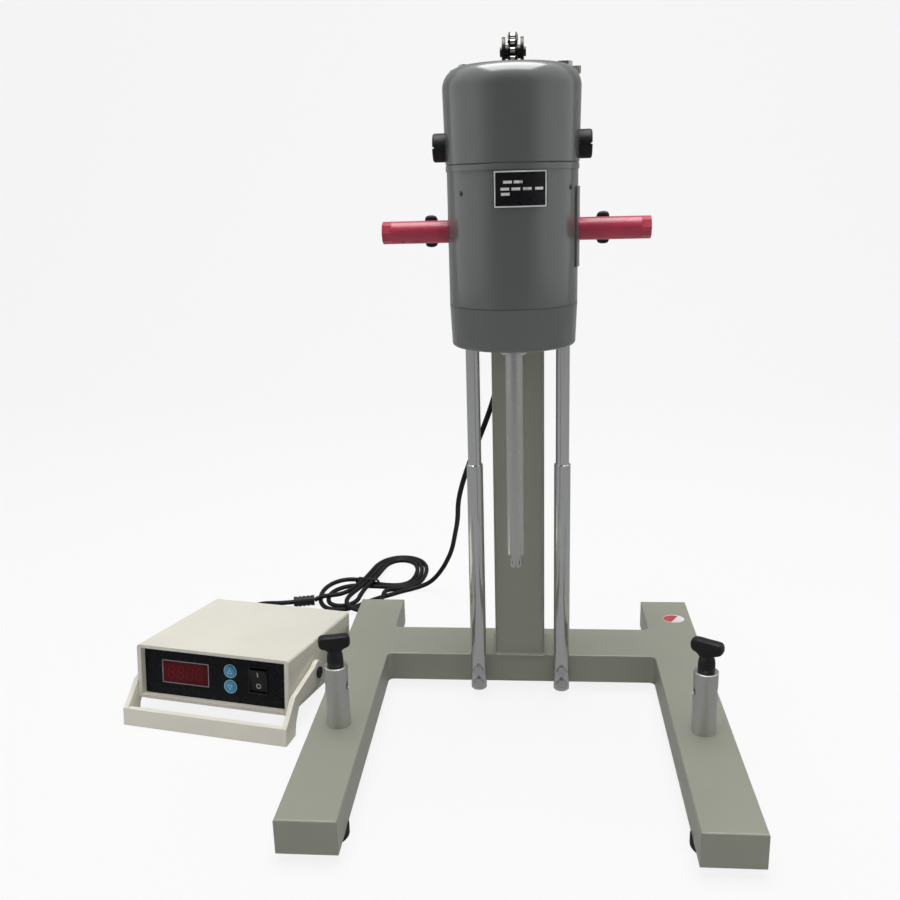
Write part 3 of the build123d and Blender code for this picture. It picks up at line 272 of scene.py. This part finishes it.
# ------------------------------------------------------------------ the cable
CABLE_WIDTH = 8.0 * MM
LAY = 4.05  # the height of the cable's middle where it lies on the bench
OVER = 12.8  # and where it lies over another turn
GLAND = (-39.5, 96.0, 712.0)
HEAD_RUN = [
    GLAND, (-39.5, 130.0, 712.0), (-39.0, 166.0, 703.0), (-33.0, 192.0, 676.0),
    (-24.0, 202.0, 638.0), (-18.0, 204.0, 590.0), (-16.0, 206.0, 540.0), (-18.0, 207.0, 490.0),
    (-24.0, 209.0, 445.0), (-37.0, 213.0, 398.0), (-57.0, 227.0, 345.0), (-79.0, 250.0, 289.0),
    (-96.0, 290.0, 229.0), (-101.0, 338.0, 178.0), (-110.0, 380.0, 136.0), (-118.0, 408.0, 98.0),
    (-131.0, 431.0, 64.0), (-146.0, 444.0, 37.0), (-162.0, 450.0, 18.0), (-180.0, 452.5, 8.0),
]
LEFT_TURN_OUTER = [
    (-199, 448), (-216, 437), (-232, 423), (-254, 407), (-272, 388), (-287, 370), (-306, 358),
    (-326, 357), (-343, 369), (-354, 391), (-359, 418), (-358, 446), (-349, 471), (-332, 488),
    (-311, 492), (-293, 484), (-277, 474), (-258, 469),
]
RIGHT_TURN = [
    (-244, 448), (-220, 448), (-199, 459), (-185, 480), (-180, 509), (-179, 537), (-184, 564),
    (-197, 588), (-219, 602), (-244, 602), (-266, 586, 4.5), (-277, 555, 7.0), (-280, 521, 11.0),
    (-284, 490, OVER), (-290, 462, OVER),
]
LEFT_TURN_INNER = [
    (-280, 440, 11.0), (-287, 417, 5.0), (-288, 397), (-298, 379), (-317, 371.5), (-335, 381),
    (-342, 401), (-343, 421), (-338, 438), (-325, 454), (-309, 462), (-294, 463), (-278, 460),
    (-258, 459),
]
TURN_BACK = [
    (-289, 438, OVER), (-297, 415, OVER), (-304, 392, 13.0), (-303, 366, 13.2), (-290, 349, 11.0),
    (-267, 345, 7.0), (-248, 359, 9.0), (-242, 386, OVER), (-243, 417, OVER), (-236, 436, 8.5),
    (-219, 448),
]
COUPLING_START = (-363.4, 386.2, 9.0)
HANK_EXIT = [
    (-298, 440, OVER), (-306, 420, OVER), (-318, 405, OVER), (-335, 397, 13.4), (-351, 392, 13.9),
    COUPLING_START,
]
TURN_STEP = 8.8  # between neighbouring turns, side by side


def laid(points):
    """Points with the bench's height where none is given."""
    return [(p[0], p[1], p[2] if len(p) > 2 else LAY) for p in points]


def inset(points, distance):
    """The same turn, that far to its inside."""
    moved = []
    for i, (x, y, z) in enumerate(points):
        ahead, behind = points[min(i + 1, len(points) - 1)], points[max(i - 1, 0)]
        along = Vector((ahead[0] - behind[0], ahead[1] - behind[1])).normalized()
        moved.append((x - distance * along.y, y + distance * along.x, z))
    return moved


def head_cable_route():
    """From the motor's gland down to the bench, through the hank's five turns, to the coupling."""
    right = laid(RIGHT_TURN)
    return [
        *HEAD_RUN,
        *laid(LEFT_TURN_OUTER),
        *inset(right, 2 * TURN_STEP),
        *laid(LEFT_TURN_INNER),
        *inset(right, TURN_STEP),
        *laid(TURN_BACK),
        *right[2:],
        *HANK_EXIT,
    ]


# The control box's own frame: it leans back on its bail
BOX_DEPTH = 220.0
BOX_YAW = math.radians(-10.83)
BOX_TILT = math.radians(7.21)
BOX_ORIGIN = mm(-418.3, -5.8, BOX_DEPTH * math.sin(BOX_TILT))
BOX_X = Vector((math.cos(BOX_YAW), math.sin(BOX_YAW), 0))
BOX_AHEAD = Vector((-math.sin(BOX_YAW), math.cos(BOX_YAW), 0))
BOX_Y = BOX_AHEAD * math.cos(BOX_TILT) - Vector((0, 0, 1)) * math.sin(BOX_TILT)
BOX_Z = BOX_AHEAD * math.sin(BOX_TILT) + Vector((0, 0, 1)) * math.cos(BOX_TILT)


def in_box(x, y, z):
    """A point of the control box, given in its own frame in millimetres."""
    return BOX_ORIGIN + (BOX_X * x + BOX_Y * y + BOX_Z * z) * MM


SOCKET = (-96.0, 38.0)
PLUG_BACK = 230.0
PLUG_LENGTH = 24.0
STRAIGHT_LEAD = 60.0
COUPLING_END = (-398.2, 377.06, 9.0)


def box_cable_route():
    """From the coupling round to the plug at the control box's back."""
    lead = in_box(SOCKET[0], PLUG_BACK + STRAIGHT_LEAD, SOCKET[1]) / MM
    end = in_box(SOCKET[0], PLUG_BACK + PLUG_LENGTH, SOCKET[1]) / MM
    return [
        COUPLING_END,
        (-419.47, 371.51, 9.0),
        (-438.0, 358.0, 15.0),
        (-450.2, 338.5, 22.0),
        tuple(lead),
        tuple(end),
    ]


def curve_of(name, points, bevel):
    """A smooth curve with its ends on the first and last of the points."""
    data = bpy.data.curves.new(name, "CURVE")
    data.dimensions = "3D"
    data.resolution_u = 8
    data.bevel_depth = bevel
    data.bevel_resolution = 5
    data.use_fill_caps = bevel > 0
    spline = data.splines.new("NURBS")
    spline.points.add(len(points) - 1)
    for spot, place in zip(spline.points, points):
        spot.co = (*mm(*place), 1)
    spline.order_u = 3
    spline.use_endpoint_u = True
    curve = bpy.data.objects.new(name, data)
    bpy.context.collection.objects.link(curve)
    return curve


def mesh_from_curve(curve, name):
    """The curve's mesh, as it is evaluated."""
    bpy.context.view_layer.update()
    graph = bpy.context.evaluated_depsgraph_get()
    mesh = bpy.data.meshes.new_from_object(curve.evaluated_get(graph))
    mesh.name = name
    return mesh


def cable_tube(name, points):
    """A mesh tube along the points, the line it follows and that line's length."""
    bare = curve_of(name + "_line", points, 0.0)
    line = [v.co.copy() for v in mesh_from_curve(bare, name + "_line").vertices]
    bpy.data.objects.remove(bare)
    round_curve = curve_of(name + "_round", points, CABLE_WIDTH / 2)
    mesh = mesh_from_curve(round_curve, name)
    bpy.data.objects.remove(round_curve)
    mesh.polygons.foreach_set("use_smooth", [True] * len(mesh.polygons))
    tube = bpy.data.objects.new(name, mesh)
    bpy.context.collection.objects.link(tube)
    length = sum((b - a).length for a, b in zip(line, line[1:]))
    return tube, line, length


def lay_cables():
    """The two cords: motor to coupling, and coupling to control box."""
    tube, line, length = cable_tube("lead_from_motor", head_cable_route())
    dress(tube, "rubber")
    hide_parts("motor_cable", "cable_hank")
    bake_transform(tube)
    tube, line, length = cable_tube("lead_to_box", box_cable_route())
    dress(tube, "rubber")
    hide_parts("box_cable")
    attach(tube, "stand")


# ------------------------------------------------------------------ small pieces
def piece(name, mesh_data, slot_name, body):
    """An object of that mesh, in its finish, riding on a body."""
    obj = bpy.data.objects.new(name, mesh_data)
    bpy.context.collection.objects.link(obj)
    dress(obj, slot_name)
    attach(obj, body)
    return obj


def finished(bm, name, angle=35.0):
    """A mesh of the bmesh, shaded smooth up to that angle."""
    bmesh.ops.remove_doubles(bm, verts=bm.verts, dist=1e-6)
    bmesh.ops.recalc_face_normals(bm, faces=bm.faces)
    mesh = bpy.data.meshes.new(name)
    bm.to_mesh(mesh)
    bm.free()
    mesh.polygons.foreach_set("use_smooth", [True] * len(mesh.polygons))
    mesh.set_sharp_from_angle(angle=math.radians(angle))
    return mesh


def slab(bm, outline, place, thickness):
    """A flat plate: an outline in two dimensions, set out by place(u, v, height)."""
    low = [bm.verts.new(place(u, v, 0.0)) for u, v in outline]
    high = [bm.verts.new(place(u, v, thickness)) for u, v in outline]
    bm.faces.new(low[::-1])
    bm.faces.new(high)
    count = len(outline)
    for i in range(count):
        j = (i + 1) % count
        bm.faces.new((low[i], low[j], high[j], high[i]))


def ring(bm, outer, inner, place, thickness):
    """A closed band between two outlines with the same number of points."""
    rows = [[bm.verts.new(place(u, v, h)) for u, v in line]
            for line, h in ((outer, 0.0), (outer, thickness), (inner, thickness), (inner, 0.0))]
    count = len(outer)
    for i in range(count):
        j = (i + 1) % count
        for k in range(4):
            here, after = rows[k], rows[(k + 1) % 4]
            bm.faces.new((here[i], here[j], after[j], after[i]))


def rounded(width, height, radius, steps=5):
    """A rectangle's outline with rounded corners, about its middle."""
    points = []
    for sx, sy, start in ((1, 1, 0), (-1, 1, 90), (-1, -1, 180), (1, -1, 270)):
        for i in range(steps + 1):
            a = math.radians(start + 90 * i / steps)
            points.append((sx * (width / 2 - radius) + radius * math.cos(a),
                           sy * (height / 2 - radius) + radius * math.sin(a)))
    return points


def stepped(width, height, across=28):
    """A rectangle's outline with points along its sides, so that it can wrap round a cylinder."""
    points = [(-width / 2 + width * i / across, -height / 2) for i in range(across)]
    points += [(width / 2, -height / 2 + height * i / 4) for i in range(4)]
    points += [(width / 2 - width * i / across, height / 2) for i in range(across)]
    points += [(-width / 2, height / 2 - height * i / 4) for i in range(4)]
    return points


def circle(radius, count=40):
    """A circle's outline."""
    return [(radius * math.cos(2 * math.pi * i / count), radius * math.sin(2 * math.pi * i / count))
            for i in range(count)]


def lathe(bm, profile, place, count):
    """A turned body: (radius, height) pairs, set out by place(u, v, height)."""
    rows = []
    for radius, height in profile:
        rows.append([bm.verts.new(place(u, v, height)) for u, v in circle(radius, count)])
    for low, high in zip(rows, rows[1:]):
        for i in range(count):
            j = (i + 1) % count
            bm.faces.new((low[i], low[j], high[j], high[i]))
    bm.faces.new(rows[0][::-1])
    bm.faces.new(rows[-1])


def on_panel(x, z, y):
    """Places a flat detail on the control box's front, y being its back in the box's frame."""
    return lambda u, v, h: in_box(x + u, y - h, z + v)


def on_body(angle, height, radius):
    """Places a detail on the motor's skin, angle from the front towards the right."""
    def place(u, v, h):
        turn = math.radians(angle) + u / radius
        r = radius + h
        return mm(r * math.sin(turn), -r * math.cos(turn), height + v)
    return place


def facing(origin, x_dir, up, out):
    """Places a detail on a plane through the origin."""
    origin, x_dir, up, out = (Vector(v) for v in (origin, x_dir, up, out))
    return lambda u, v, h: origin * MM + (x_dir * u + up * v + out * h) * MM


def level_at(x, y, z):
    """Places a detail that lies level, facing up."""
    return facing((x, y, z), (1, 0, 0), (0, 1, 0), (0, 0, 1))


def recolor(obj, material):
    """The piece keeps its slot's name and takes a tone of its own."""
    obj.material_slots[0].material = material


def toned_piece(bm, name, slot_name, body, material):
    """A piece of the bmesh, in a tone of its own."""
    recolor(piece(name, finished(bm, name), slot_name, body), material)


# Places on the control box's front: x and height, and how far back each surface lies
WINDOW_X, WINDOW_HEIGHT = -45.8, 38.5
BUTTON_X = 23.3
BUTTONS = (("up", 49.2, 1), ("down", 27.2, -1))
PANEL_FACE, WINDOW_FACE, BUTTON_FACE = 10.05, 9.2, 8.0
DIGIT_PITCH = 14.5
DIGIT_SLANT = 0.1


def panel_details():
    """Display border, unlit digits, button rings and arrows."""
    bm = bmesh.new()
    window = on_panel(WINDOW_X, WINDOW_HEIGHT, PANEL_FACE)
    ring(bm, rounded(72.4, 33.4, 1.0), rounded(69.6, 30.6, 0.6), window, 0.35)
    toned_piece(bm, "window_border", "display_red", "stand", WINDOW_BORDER)
    bm = bmesh.new()
    for _, z, _ in BUTTONS:
        ring(bm, circle(9.8), circle(8.5), on_panel(BUTTON_X, z, PANEL_FACE), 0.25)
    toned_piece(bm, "button_rings", "button_blue", "stand", BUTTON_RING)
    bm = bmesh.new()
    level, upright = rounded(6.4, 1.3, 0.6, 2), rounded(1.3, 6.6, 0.6, 2)
    bars = [(0.0, v, level) for v in (-8.6, 0.0, 8.6)]
    bars += [(u, v, upright) for u in (-4.3, 4.3) for v in (-4.3, 4.3)]
    for k in range(4):
        middle = WINDOW_X + (k - 1.5) * DIGIT_PITCH
        for u, v, bar in bars:
            spot = on_panel(middle + u + v * DIGIT_SLANT, WINDOW_HEIGHT + v, WINDOW_FACE)
            slab(bm, bar, spot, 0.06)
    toned_piece(bm, "display_digits", "display_red", "stand", DIGITS)
    for name, z, way in BUTTONS:
        bm = bmesh.new()
        outer = [(0, 4.4 * way), (-4.4, -3.2 * way), (4.4, -3.2 * way)]
        inner = [(0, 2.5 * way), (-2.5, -2.2 * way), (2.5, -2.2 * way)]
        ring(bm, outer, inner, on_panel(BUTTON_X, z, BUTTON_FACE), 0.12)
        toned_piece(bm, "arrow_" + name, "button_blue", "button_" + name, BUTTON_RING)


ROCKER_X, ROCKER_HEIGHT = 65.5, 40.8


def rocker_marks():
    """I above O, on the faces of the tilted rocker."""
    switch = frame["nodes"]["rocker_switch"]
    into = switch.matrix_world.inverted()
    bm = bmesh.new()
    for v, mark in ((8.5, "on"), (-8.5, "off")):
        start = in_box(ROCKER_X, -20.0, ROCKER_HEIGHT + v)
        hit, place, normal, _ = switch.ray_cast(into @ start, into.to_3x3() @ BOX_Y)
        if not hit:
            print("rocker mark missed", mark)
            continue
        place = switch.matrix_world @ place
        normal = (switch.matrix_world.to_3x3() @ normal).normalized()
        up = (BOX_Z - normal * BOX_Z.dot(normal)).normalized()
        spot = facing(place / MM, BOX_X, up, normal)
        if mark == "on":
            slab(bm, rounded(1.3, 7.0, 0.3, 2), spot, 0.12)
        else:
            ring(bm, circle(3.6), circle(2.5), spot, 0.12)
    piece("rocker_marks", finished(bm, "rocker_marks"), "case_paint", "rocker")


PLATE_ANGLE, PLATE_HEIGHT, PLATE_RADIUS = 8.0, 703.5, 76.3
PLATE_ROWS = ((7.4, (-14.5, -3.0)), (0.2, (-17.5, -5.5, 7.0, 20.5)), (-5.2, (-17.0,)))
STRIP_WIDTH = 1.9
SEAM_LEVEL = 572.7


def motor_details():
    """The nameplate's border and blank fields, the seam above the lower shell and the cover screws."""
    bm = bmesh.new()
    around = on_body(PLATE_ANGLE, PLATE_HEIGHT, PLATE_RADIUS)
    ring(bm, stepped(59.0, 38.4), stepped(56.0, 35.4), around, 0.14)
    side, top = STRIP_WIDTH / 2, 1.5
    strip_outline = [(-side, -top), (side, -top), (side, top), (-side, top)]
    # Each field is laid in narrow strips, so that it follows the plate's curve
    for v, fields in PLATE_ROWS:
        for u in fields:
            for strip in range(5):
                shift = (strip - 2) * STRIP_WIDTH
                angle = PLATE_ANGLE + math.degrees((u + shift) / PLATE_RADIUS)
                slab(bm, strip_outline, on_body(angle, PLATE_HEIGHT + v, PLATE_RADIUS), 0.1)
    toned_piece(bm, "nameplate_border", "label_black", "head", LABEL_WHITE)
    bm = bmesh.new()
    ring(bm, circle(75.62, 160), circle(75.3, 160), level_at(0, 0, SEAM_LEVEL), 0.6)
    toned_piece(bm, "lower_seam", "motor_paint", "head", SEAM)
    bm = bmesh.new()
    for angle, height in ((-48.0, 700.0), (60.0, 704.0)):
        spot = on_body(angle, height, 75.4)
        lathe(bm, [(2.6, 0.0), (2.6, 0.5), (2.1, 0.8), (0.4, 1.0)], spot, 32)
    toned_piece(bm, "cover_screws", "zinc_steel", "head", DARK_STEEL)


def wing_outline(scale):
    """A T knob's outline seen from its flat side: the wing droops to a narrow waist."""
    side = [(5.5, 14.5), (8.0, 19.5), (12.0, 23.2), (16.0, 24.6), (18.6, 26.2), (19.8, 29.5),
            (19.9, 34.0), (18.9, 37.8), (16.5, 39.5), (10.0, 39.9), (0.0, 39.6)]
    line = side + [(-u, v) for u, v in reversed(side[:-1])]
    middle = 28.0
    return [(u * scale, middle + (v - middle) * scale) for u, v in line]


def t_knob(node, seat, wing, up, body):
    """A moulded T knob on its waist and hub, in the place of the CAD one."""
    seat, wing, up = Vector(seat), Vector(wing).normalized(), Vector(up).normalized()
    across = up.cross(wing)
    bm = bmesh.new()
    rows = []
    front = [(-6.9, 0.84), (-6.4, 0.93), (-4.6, 0.985)]
    for depth, scale in [*front, (0.0, 1.0), *((-depth, scale) for depth, scale in front[::-1])]:
        rows.append([bm.verts.new((seat + wing * u + up * v + across * depth) * MM)
                     for u, v in wing_outline(scale)])
    for low, high in zip(rows, rows[1:]):
        for i in range(len(low)):
            j = (i + 1) % len(low)
            bm.faces.new((low[i], low[j], high[j], high[i]))
    bm.faces.new(rows[0][::-1])
    bm.faces.new(rows[-1])
    profile = [(9.3, 0.0), (10.2, 0.8), (10.3, 9.0), (9.9, 14.0), (8.6, 18.0), (6.6, 20.5)]
    lathe(bm, profile, facing(seat, wing, across, up), 48)
    knob = piece(node + "_moulded", finished(bm, node + "_moulded", 50.0), "black_plastic", body)
    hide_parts(node)


POST_Y, POST_TOP = -86.0, 137.0
LOCK_Y, LOCK_HEIGHT = 94.0, 653.7
KNOB_LENGTH = 40.0


def knobs():
    """The four T knobs, on the two clamp posts and on the carriage's sides."""
    for side, x, turn in (("left", -224.0, 15.0), ("right", 230.0, -33.0)):
        a = math.radians(turn)
        node = "post_knob_" + side
        t_knob(node, (x, POST_Y, POST_TOP), (math.cos(a), math.sin(a), 0), (0, 0, 1), node)
    for side, direction in (("left", -1), ("right", 1)):
        node = "lock_knob_" + side
        low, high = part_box(node)
        seat = (low.x if direction < 0 else high.x) / MM - direction * KNOB_LENGTH
        t_knob(node, (seat, LOCK_Y, LOCK_HEIGHT), (0, 0, 1), (direction, 0, 0), node)


# Half width of the chain's middle band, where the rollers carry a painted highlight
ROLLER_HIGHLIGHT_HALF = (0.0026, 0.0029)


def chain_finish_with_painted_highlight():
    """Dark plates and rollers coloured bright as a painted highlight, told apart by their distance from
    the chain's middle.
    """
    finish = Finish("chain_links_painted_highlight", (0.35, 0.34, 0.32), 0.28, metallic=1.0)
    finish.soften(0.0002)
    split = finish.tree.nodes.new("ShaderNodeSeparateXYZ")
    finish.tree.links.new(finish.place.outputs["Object"], split.inputs[0])
    off = finish.tree.nodes.new("ShaderNodeMath")
    off.operation = "ABSOLUTE"
    finish.tree.links.new(split.outputs["X"], off.inputs[0])
    outer = finish.spread(off.outputs[0], 0.0, 1.0, *ROLLER_HIGHLIGHT_HALF)
    # Painted highlight: the rollers in the chain's middle are coloured bright steel; the plates at its
    # sides keep a dark steel tone of their own
    finish.mottle((0.62, 0.60, 0.56), (0.035, 0.034, 0.033), outer)
    return finish.material


FRAME_TOP = 55.0
COLUMN_SIZE = 70.0
BEAD_SIZE = 4.0


def weld_bead():
    """The fillet weld where the column stands on the floor frame."""
    bm = bmesh.new()
    path = rounded(COLUMN_SIZE, COLUMN_SIZE, 4.0, 6)
    fine = []
    for (ax, ay), (bx, by) in zip(path, path[1:] + path[:1]):
        steps = max(1, round(math.dist((ax, ay), (bx, by)) / 1.5))
        fine += [(ax + (bx - ax) * i / steps, ay + (by - ay) * i / steps) for i in range(steps)]
    count = len(fine)
    rows = []
    low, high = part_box("column")
    middle = ((low.x + high.x) / 2 / MM, (low.y + high.y) / 2 / MM)
    for i, (x, y) in enumerate(fine):
        ahead, behind = fine[(i + 1) % count], fine[i - 1]
        along = Vector((ahead[0] - behind[0], ahead[1] - behind[1])).normalized()
        out = Vector((along.y, -along.x))
        swell = BEAD_SIZE * (1 + 0.10 * math.sin(i * 2.1) + 0.05 * math.sin(i * 0.37))
        row = []
        for k in range(5):
            a = math.radians(90 * k / 4)
            reach = swell * (1 - 0.9 * math.sin(a)) if k < 4 else 0.0
            rise = swell * (1 - 0.9 * math.cos(a)) if k > 0 else 0.0
            row.append(bm.verts.new(mm(middle[0] + x + out.x * reach,
                                       middle[1] + y + out.y * reach, FRAME_TOP + rise)))
        # The sixth point closes the section, a little inside the column
        row.append(bm.verts.new(mm(middle[0] + x - out.x * 0.5,
                                   middle[1] + y - out.y * 0.5, FRAME_TOP)))
        rows.append(row)
    for i in range(count):
        here, after = rows[i], rows[(i + 1) % count]
        for k in range(6):
            j = (k + 1) % 6
            bm.faces.new((here[k], after[k], after[j], here[j]))
    piece("weld_bead", finished(bm, "weld_bead", 60.0), "enamel", "stand")


def caution_sticker():
    """The small bare sticker on the right leg's top: a white oval with a red half."""
    x, y, thickness = 238.5, 229.0, 0.12
    oval = [(u * 1.2, v) for u, v in circle(13.5, 48)]
    bm = bmesh.new()
    slab(bm, oval, level_at(x, y, FRAME_TOP), thickness)
    toned_piece(bm, "sticker", "label_black", "stand", LABEL_WHITE)
    bm = bmesh.new()
    half = [(u * 0.9 - 1.2, v * 0.86) for u, v in oval if u - 0.6 * v < 4.0]
    slab(bm, half, level_at(x, y, FRAME_TOP + thickness), 0.05)
    toned_piece(bm, "sticker_print", "label_black", "stand", STICKER_RED)


def cable_tie():
    """The strap that holds the hank's turns together where they cross."""
    bm = bmesh.new()
    spot = facing((-281.0, 466.0, 0.0), (0.97, -0.24, 0), (0, 0, 1), (0.24, 0.97, 0))
    middle, width, clear = 8.6, 6.0, 0.2
    outer = [(u, v + middle) for u, v in rounded(46, 17.0, 7.5, 8)]
    inner = [(u, v + middle) for u, v in rounded(44, 15.2, 6.6, 8)]

    def on_bench(u, v, h):
        return spot(u, max(v, clear), h - width / 2)

    ring(bm, outer, inner, on_bench, width)
    piece("cable_tie", finished(bm, "cable_tie"), "black_plastic", "stand")


def round_edges():
    """Every CAD piece is shaded smooth; the larger ones get softly rounded edges, in millimetres."""
    widths = {
        "bail": 1.0, "rocker_switch": 0.5, "case_cover": 1.0, "case_base": 0.8, "front_frame": 1.2,
        "base_frame": 1.0, "top_bar": 0.8, "carriage": 0.8,
    }
    for node, obj in frame["nodes"].items():
        mesh = obj.data
        mesh.polygons.foreach_set("use_smooth", [True] * len(mesh.polygons))
        mesh.set_sharp_from_angle(angle=math.radians(28))
        if node in widths:
            bevel = obj.modifiers.new("edges", "BEVEL")
            bevel.width = widths[node] * MM
            bevel.segments = 3
            bevel.limit_method = "ANGLE"
            bevel.angle_limit = math.radians(40)
            bevel.harden_normals = False


# ------------------------------------------------------------------ stage and light
FLOOR_WHITE_SHARE = 0.86
FLOOR_MIRRORED = 0.30
ROOM_STRENGTH = 0.21
BACKDROP_WHITE = 0.93
MIRRORED_FRONT = {"From Min": -0.97, "From Max": -0.45, "To Min": 0.05, "To Max": 0.85}


def stage_surface(name, color, roughness):
    """A pale surface, nearly white to the camera and dimmer in reflections, that keeps its shadows."""
    material = bpy.data.materials.new(name)
    material.use_nodes = True
    tree = material.node_tree
    shader = tree.nodes["Principled BSDF"]
    shader.inputs["Base Color"].default_value = (*color, 1)
    shader.inputs["Roughness"].default_value = roughness
    shader.inputs["Specular IOR Level"].default_value = 0.0
    rays = tree.nodes.new("ShaderNodeLightPath")
    seen = tree.nodes.new("ShaderNodeMath")
    seen.operation = "MAXIMUM"
    tree.links.new(rays.outputs["Is Camera Ray"], seen.inputs[0])
    tree.links.new(rays.outputs["Is Glossy Ray"], seen.inputs[1])
    share = tree.nodes.new("ShaderNodeMath")
    share.operation = "MULTIPLY"
    share.inputs[1].default_value = FLOOR_WHITE_SHARE
    tree.links.new(seen.outputs[0], share.inputs[0])
    glow = tree.nodes.new("ShaderNodeEmission")
    level = tree.nodes.new("ShaderNodeMapRange")
    level.inputs["To Min"].default_value = FLOOR_MIRRORED
    level.inputs["To Max"].default_value = 1.0
    tree.links.new(rays.outputs["Is Camera Ray"], level.inputs["Value"])
    tree.links.new(level.outputs["Result"], glow.inputs["Strength"])
    mix = tree.nodes.new("ShaderNodeMixShader")
    tree.links.new(share.outputs[0], mix.inputs[0])
    tree.links.new(shader.outputs[0], mix.inputs[1])
    tree.links.new(glow.outputs[0], mix.inputs[2])
    tree.links.new(mix.outputs[0], tree.nodes["Material Output"].inputs["Surface"])
    return material


def build_stage():
    """A pale floor that curves up into the backdrop."""
    bm = bmesh.new()
    bend, far, near, side, top = 1.2, 3.2, -4.0, 5.0, 4.0
    line = [(near, 0.0), (far - bend, 0.0)]
    line += [(far - bend + bend * math.sin(math.radians(a)), bend - bend * math.cos(math.radians(a)))
             for a in range(6, 91, 6)]
    line.append((far, top))
    rows = [[bm.verts.new((x, y, z)) for y, z in line] for x in (-side, side)]
    for i in range(len(line) - 1):
        bm.faces.new((rows[0][i], rows[1][i], rows[1][i + 1], rows[0][i + 1]))
    mesh = bpy.data.meshes.new("floor")
    bm.to_mesh(mesh)
    bm.free()
    mesh.polygons.foreach_set("use_smooth", [True] * len(mesh.polygons))
    floor = bpy.data.objects.new("floor", mesh)
    bpy.context.collection.objects.link(floor)
    floor.data.materials.append(stage_surface("floor", (0.72, 0.72, 0.715), 0.7))


def lamp(name, place, target, size, power, mirrored=True):
    """A soft square light, aimed at a point; it may be left out of reflections."""
    data = bpy.data.lights.new(name, "AREA")
    data.size = size
    data.energy = power
    obj = bpy.data.objects.new(name, data)
    bpy.context.collection.objects.link(obj)
    obj.location = place
    obj.rotation_euler = (Vector(target) - Vector(place)).to_track_quat("-Z", "Y").to_euler()
    obj.visible_glossy = mirrored


def studio_world():
    """A pale room whose reflection is dark in front of the object, as a room behind the camera is."""
    world = bpy.data.worlds.new("studio")
    world.use_nodes = True
    tree = world.node_tree
    room = tree.nodes["Background"]
    room.inputs["Color"].default_value = (1, 1, 1, 1)
    room.inputs["Strength"].default_value = ROOM_STRENGTH
    mirror = tree.nodes.new("ShaderNodeBackground")
    mirror.inputs["Color"].default_value = (1, 1, 1, 1)
    backdrop = tree.nodes.new("ShaderNodeBackground")
    backdrop.inputs["Color"].default_value = (*[BACKDROP_WHITE] * 3, 1)
    place = tree.nodes.new("ShaderNodeTexCoord")
    split = tree.nodes.new("ShaderNodeSeparateXYZ")
    tree.links.new(place.outputs["Generated"], split.inputs[0])
    front = tree.nodes.new("ShaderNodeMapRange")
    front.interpolation_type = "SMOOTHSTEP"
    for name, value in MIRRORED_FRONT.items():
        front.inputs[name].default_value = value
    tree.links.new(split.outputs["Y"], front.inputs["Value"])
    tree.links.new(front.outputs["Result"], mirror.inputs["Strength"])
    rays = tree.nodes.new("ShaderNodeLightPath")
    mix = tree.nodes.new("ShaderNodeMixShader")
    tree.links.new(rays.outputs["Is Glossy Ray"], mix.inputs[0])
    tree.links.new(room.outputs[0], mix.inputs[1])
    tree.links.new(mirror.outputs[0], mix.inputs[2])
    seen = tree.nodes.new("ShaderNodeMixShader")
    tree.links.new(rays.outputs["Is Camera Ray"], seen.inputs[0])
    tree.links.new(mix.outputs[0], seen.inputs[1])
    tree.links.new(backdrop.outputs[0], seen.inputs[2])
    tree.links.new(seen.outputs[0], tree.nodes["World Output"].inputs["Surface"])
    bpy.context.scene.world = world


def light():
    """Mostly from above, with a soft key from the front left and a weak fill."""
    lamp("top", (0.0, 0.1, 2.9), (0.0, 0.1, 0.4), 2.0, 77.0)
    lamp("key", (-1.6, -2.0, 2.2), (-0.1, 0.1, 0.4), 1.6, 5.0, mirrored=False)
    lamp("fill", (2.2, -1.6, 1.3), (0.0, 0.1, 0.4), 1.6, 3.0, mirrored=False)
    studio_world()
    bpy.context.scene.view_settings.view_transform = "Standard"


dress_frame()
round_edges()
lay_cables()
panel_details()
rocker_marks()
motor_details()
knobs()
# The chain gets dark plates and rollers with a painted highlight
recolor(frame["nodes"]["lift_chain"], chain_finish_with_painted_highlight())
recolor(frame["nodes"]["stop_sleeves"], SLEEVE)
for bracket_node in ("chain_bracket", "wheel_axle", "chain_wheel"):
    recolor(frame["nodes"][bracket_node], DARK_STEEL)
# The bail takes the lighter copy of the cream, which is painted light
recolor(frame["nodes"]["bail"], BAIL_CREAM_PAINTED_LIGHT)
weld_bead()
cable_tie()
caution_sticker()
build_stage()
light()
add_camera()
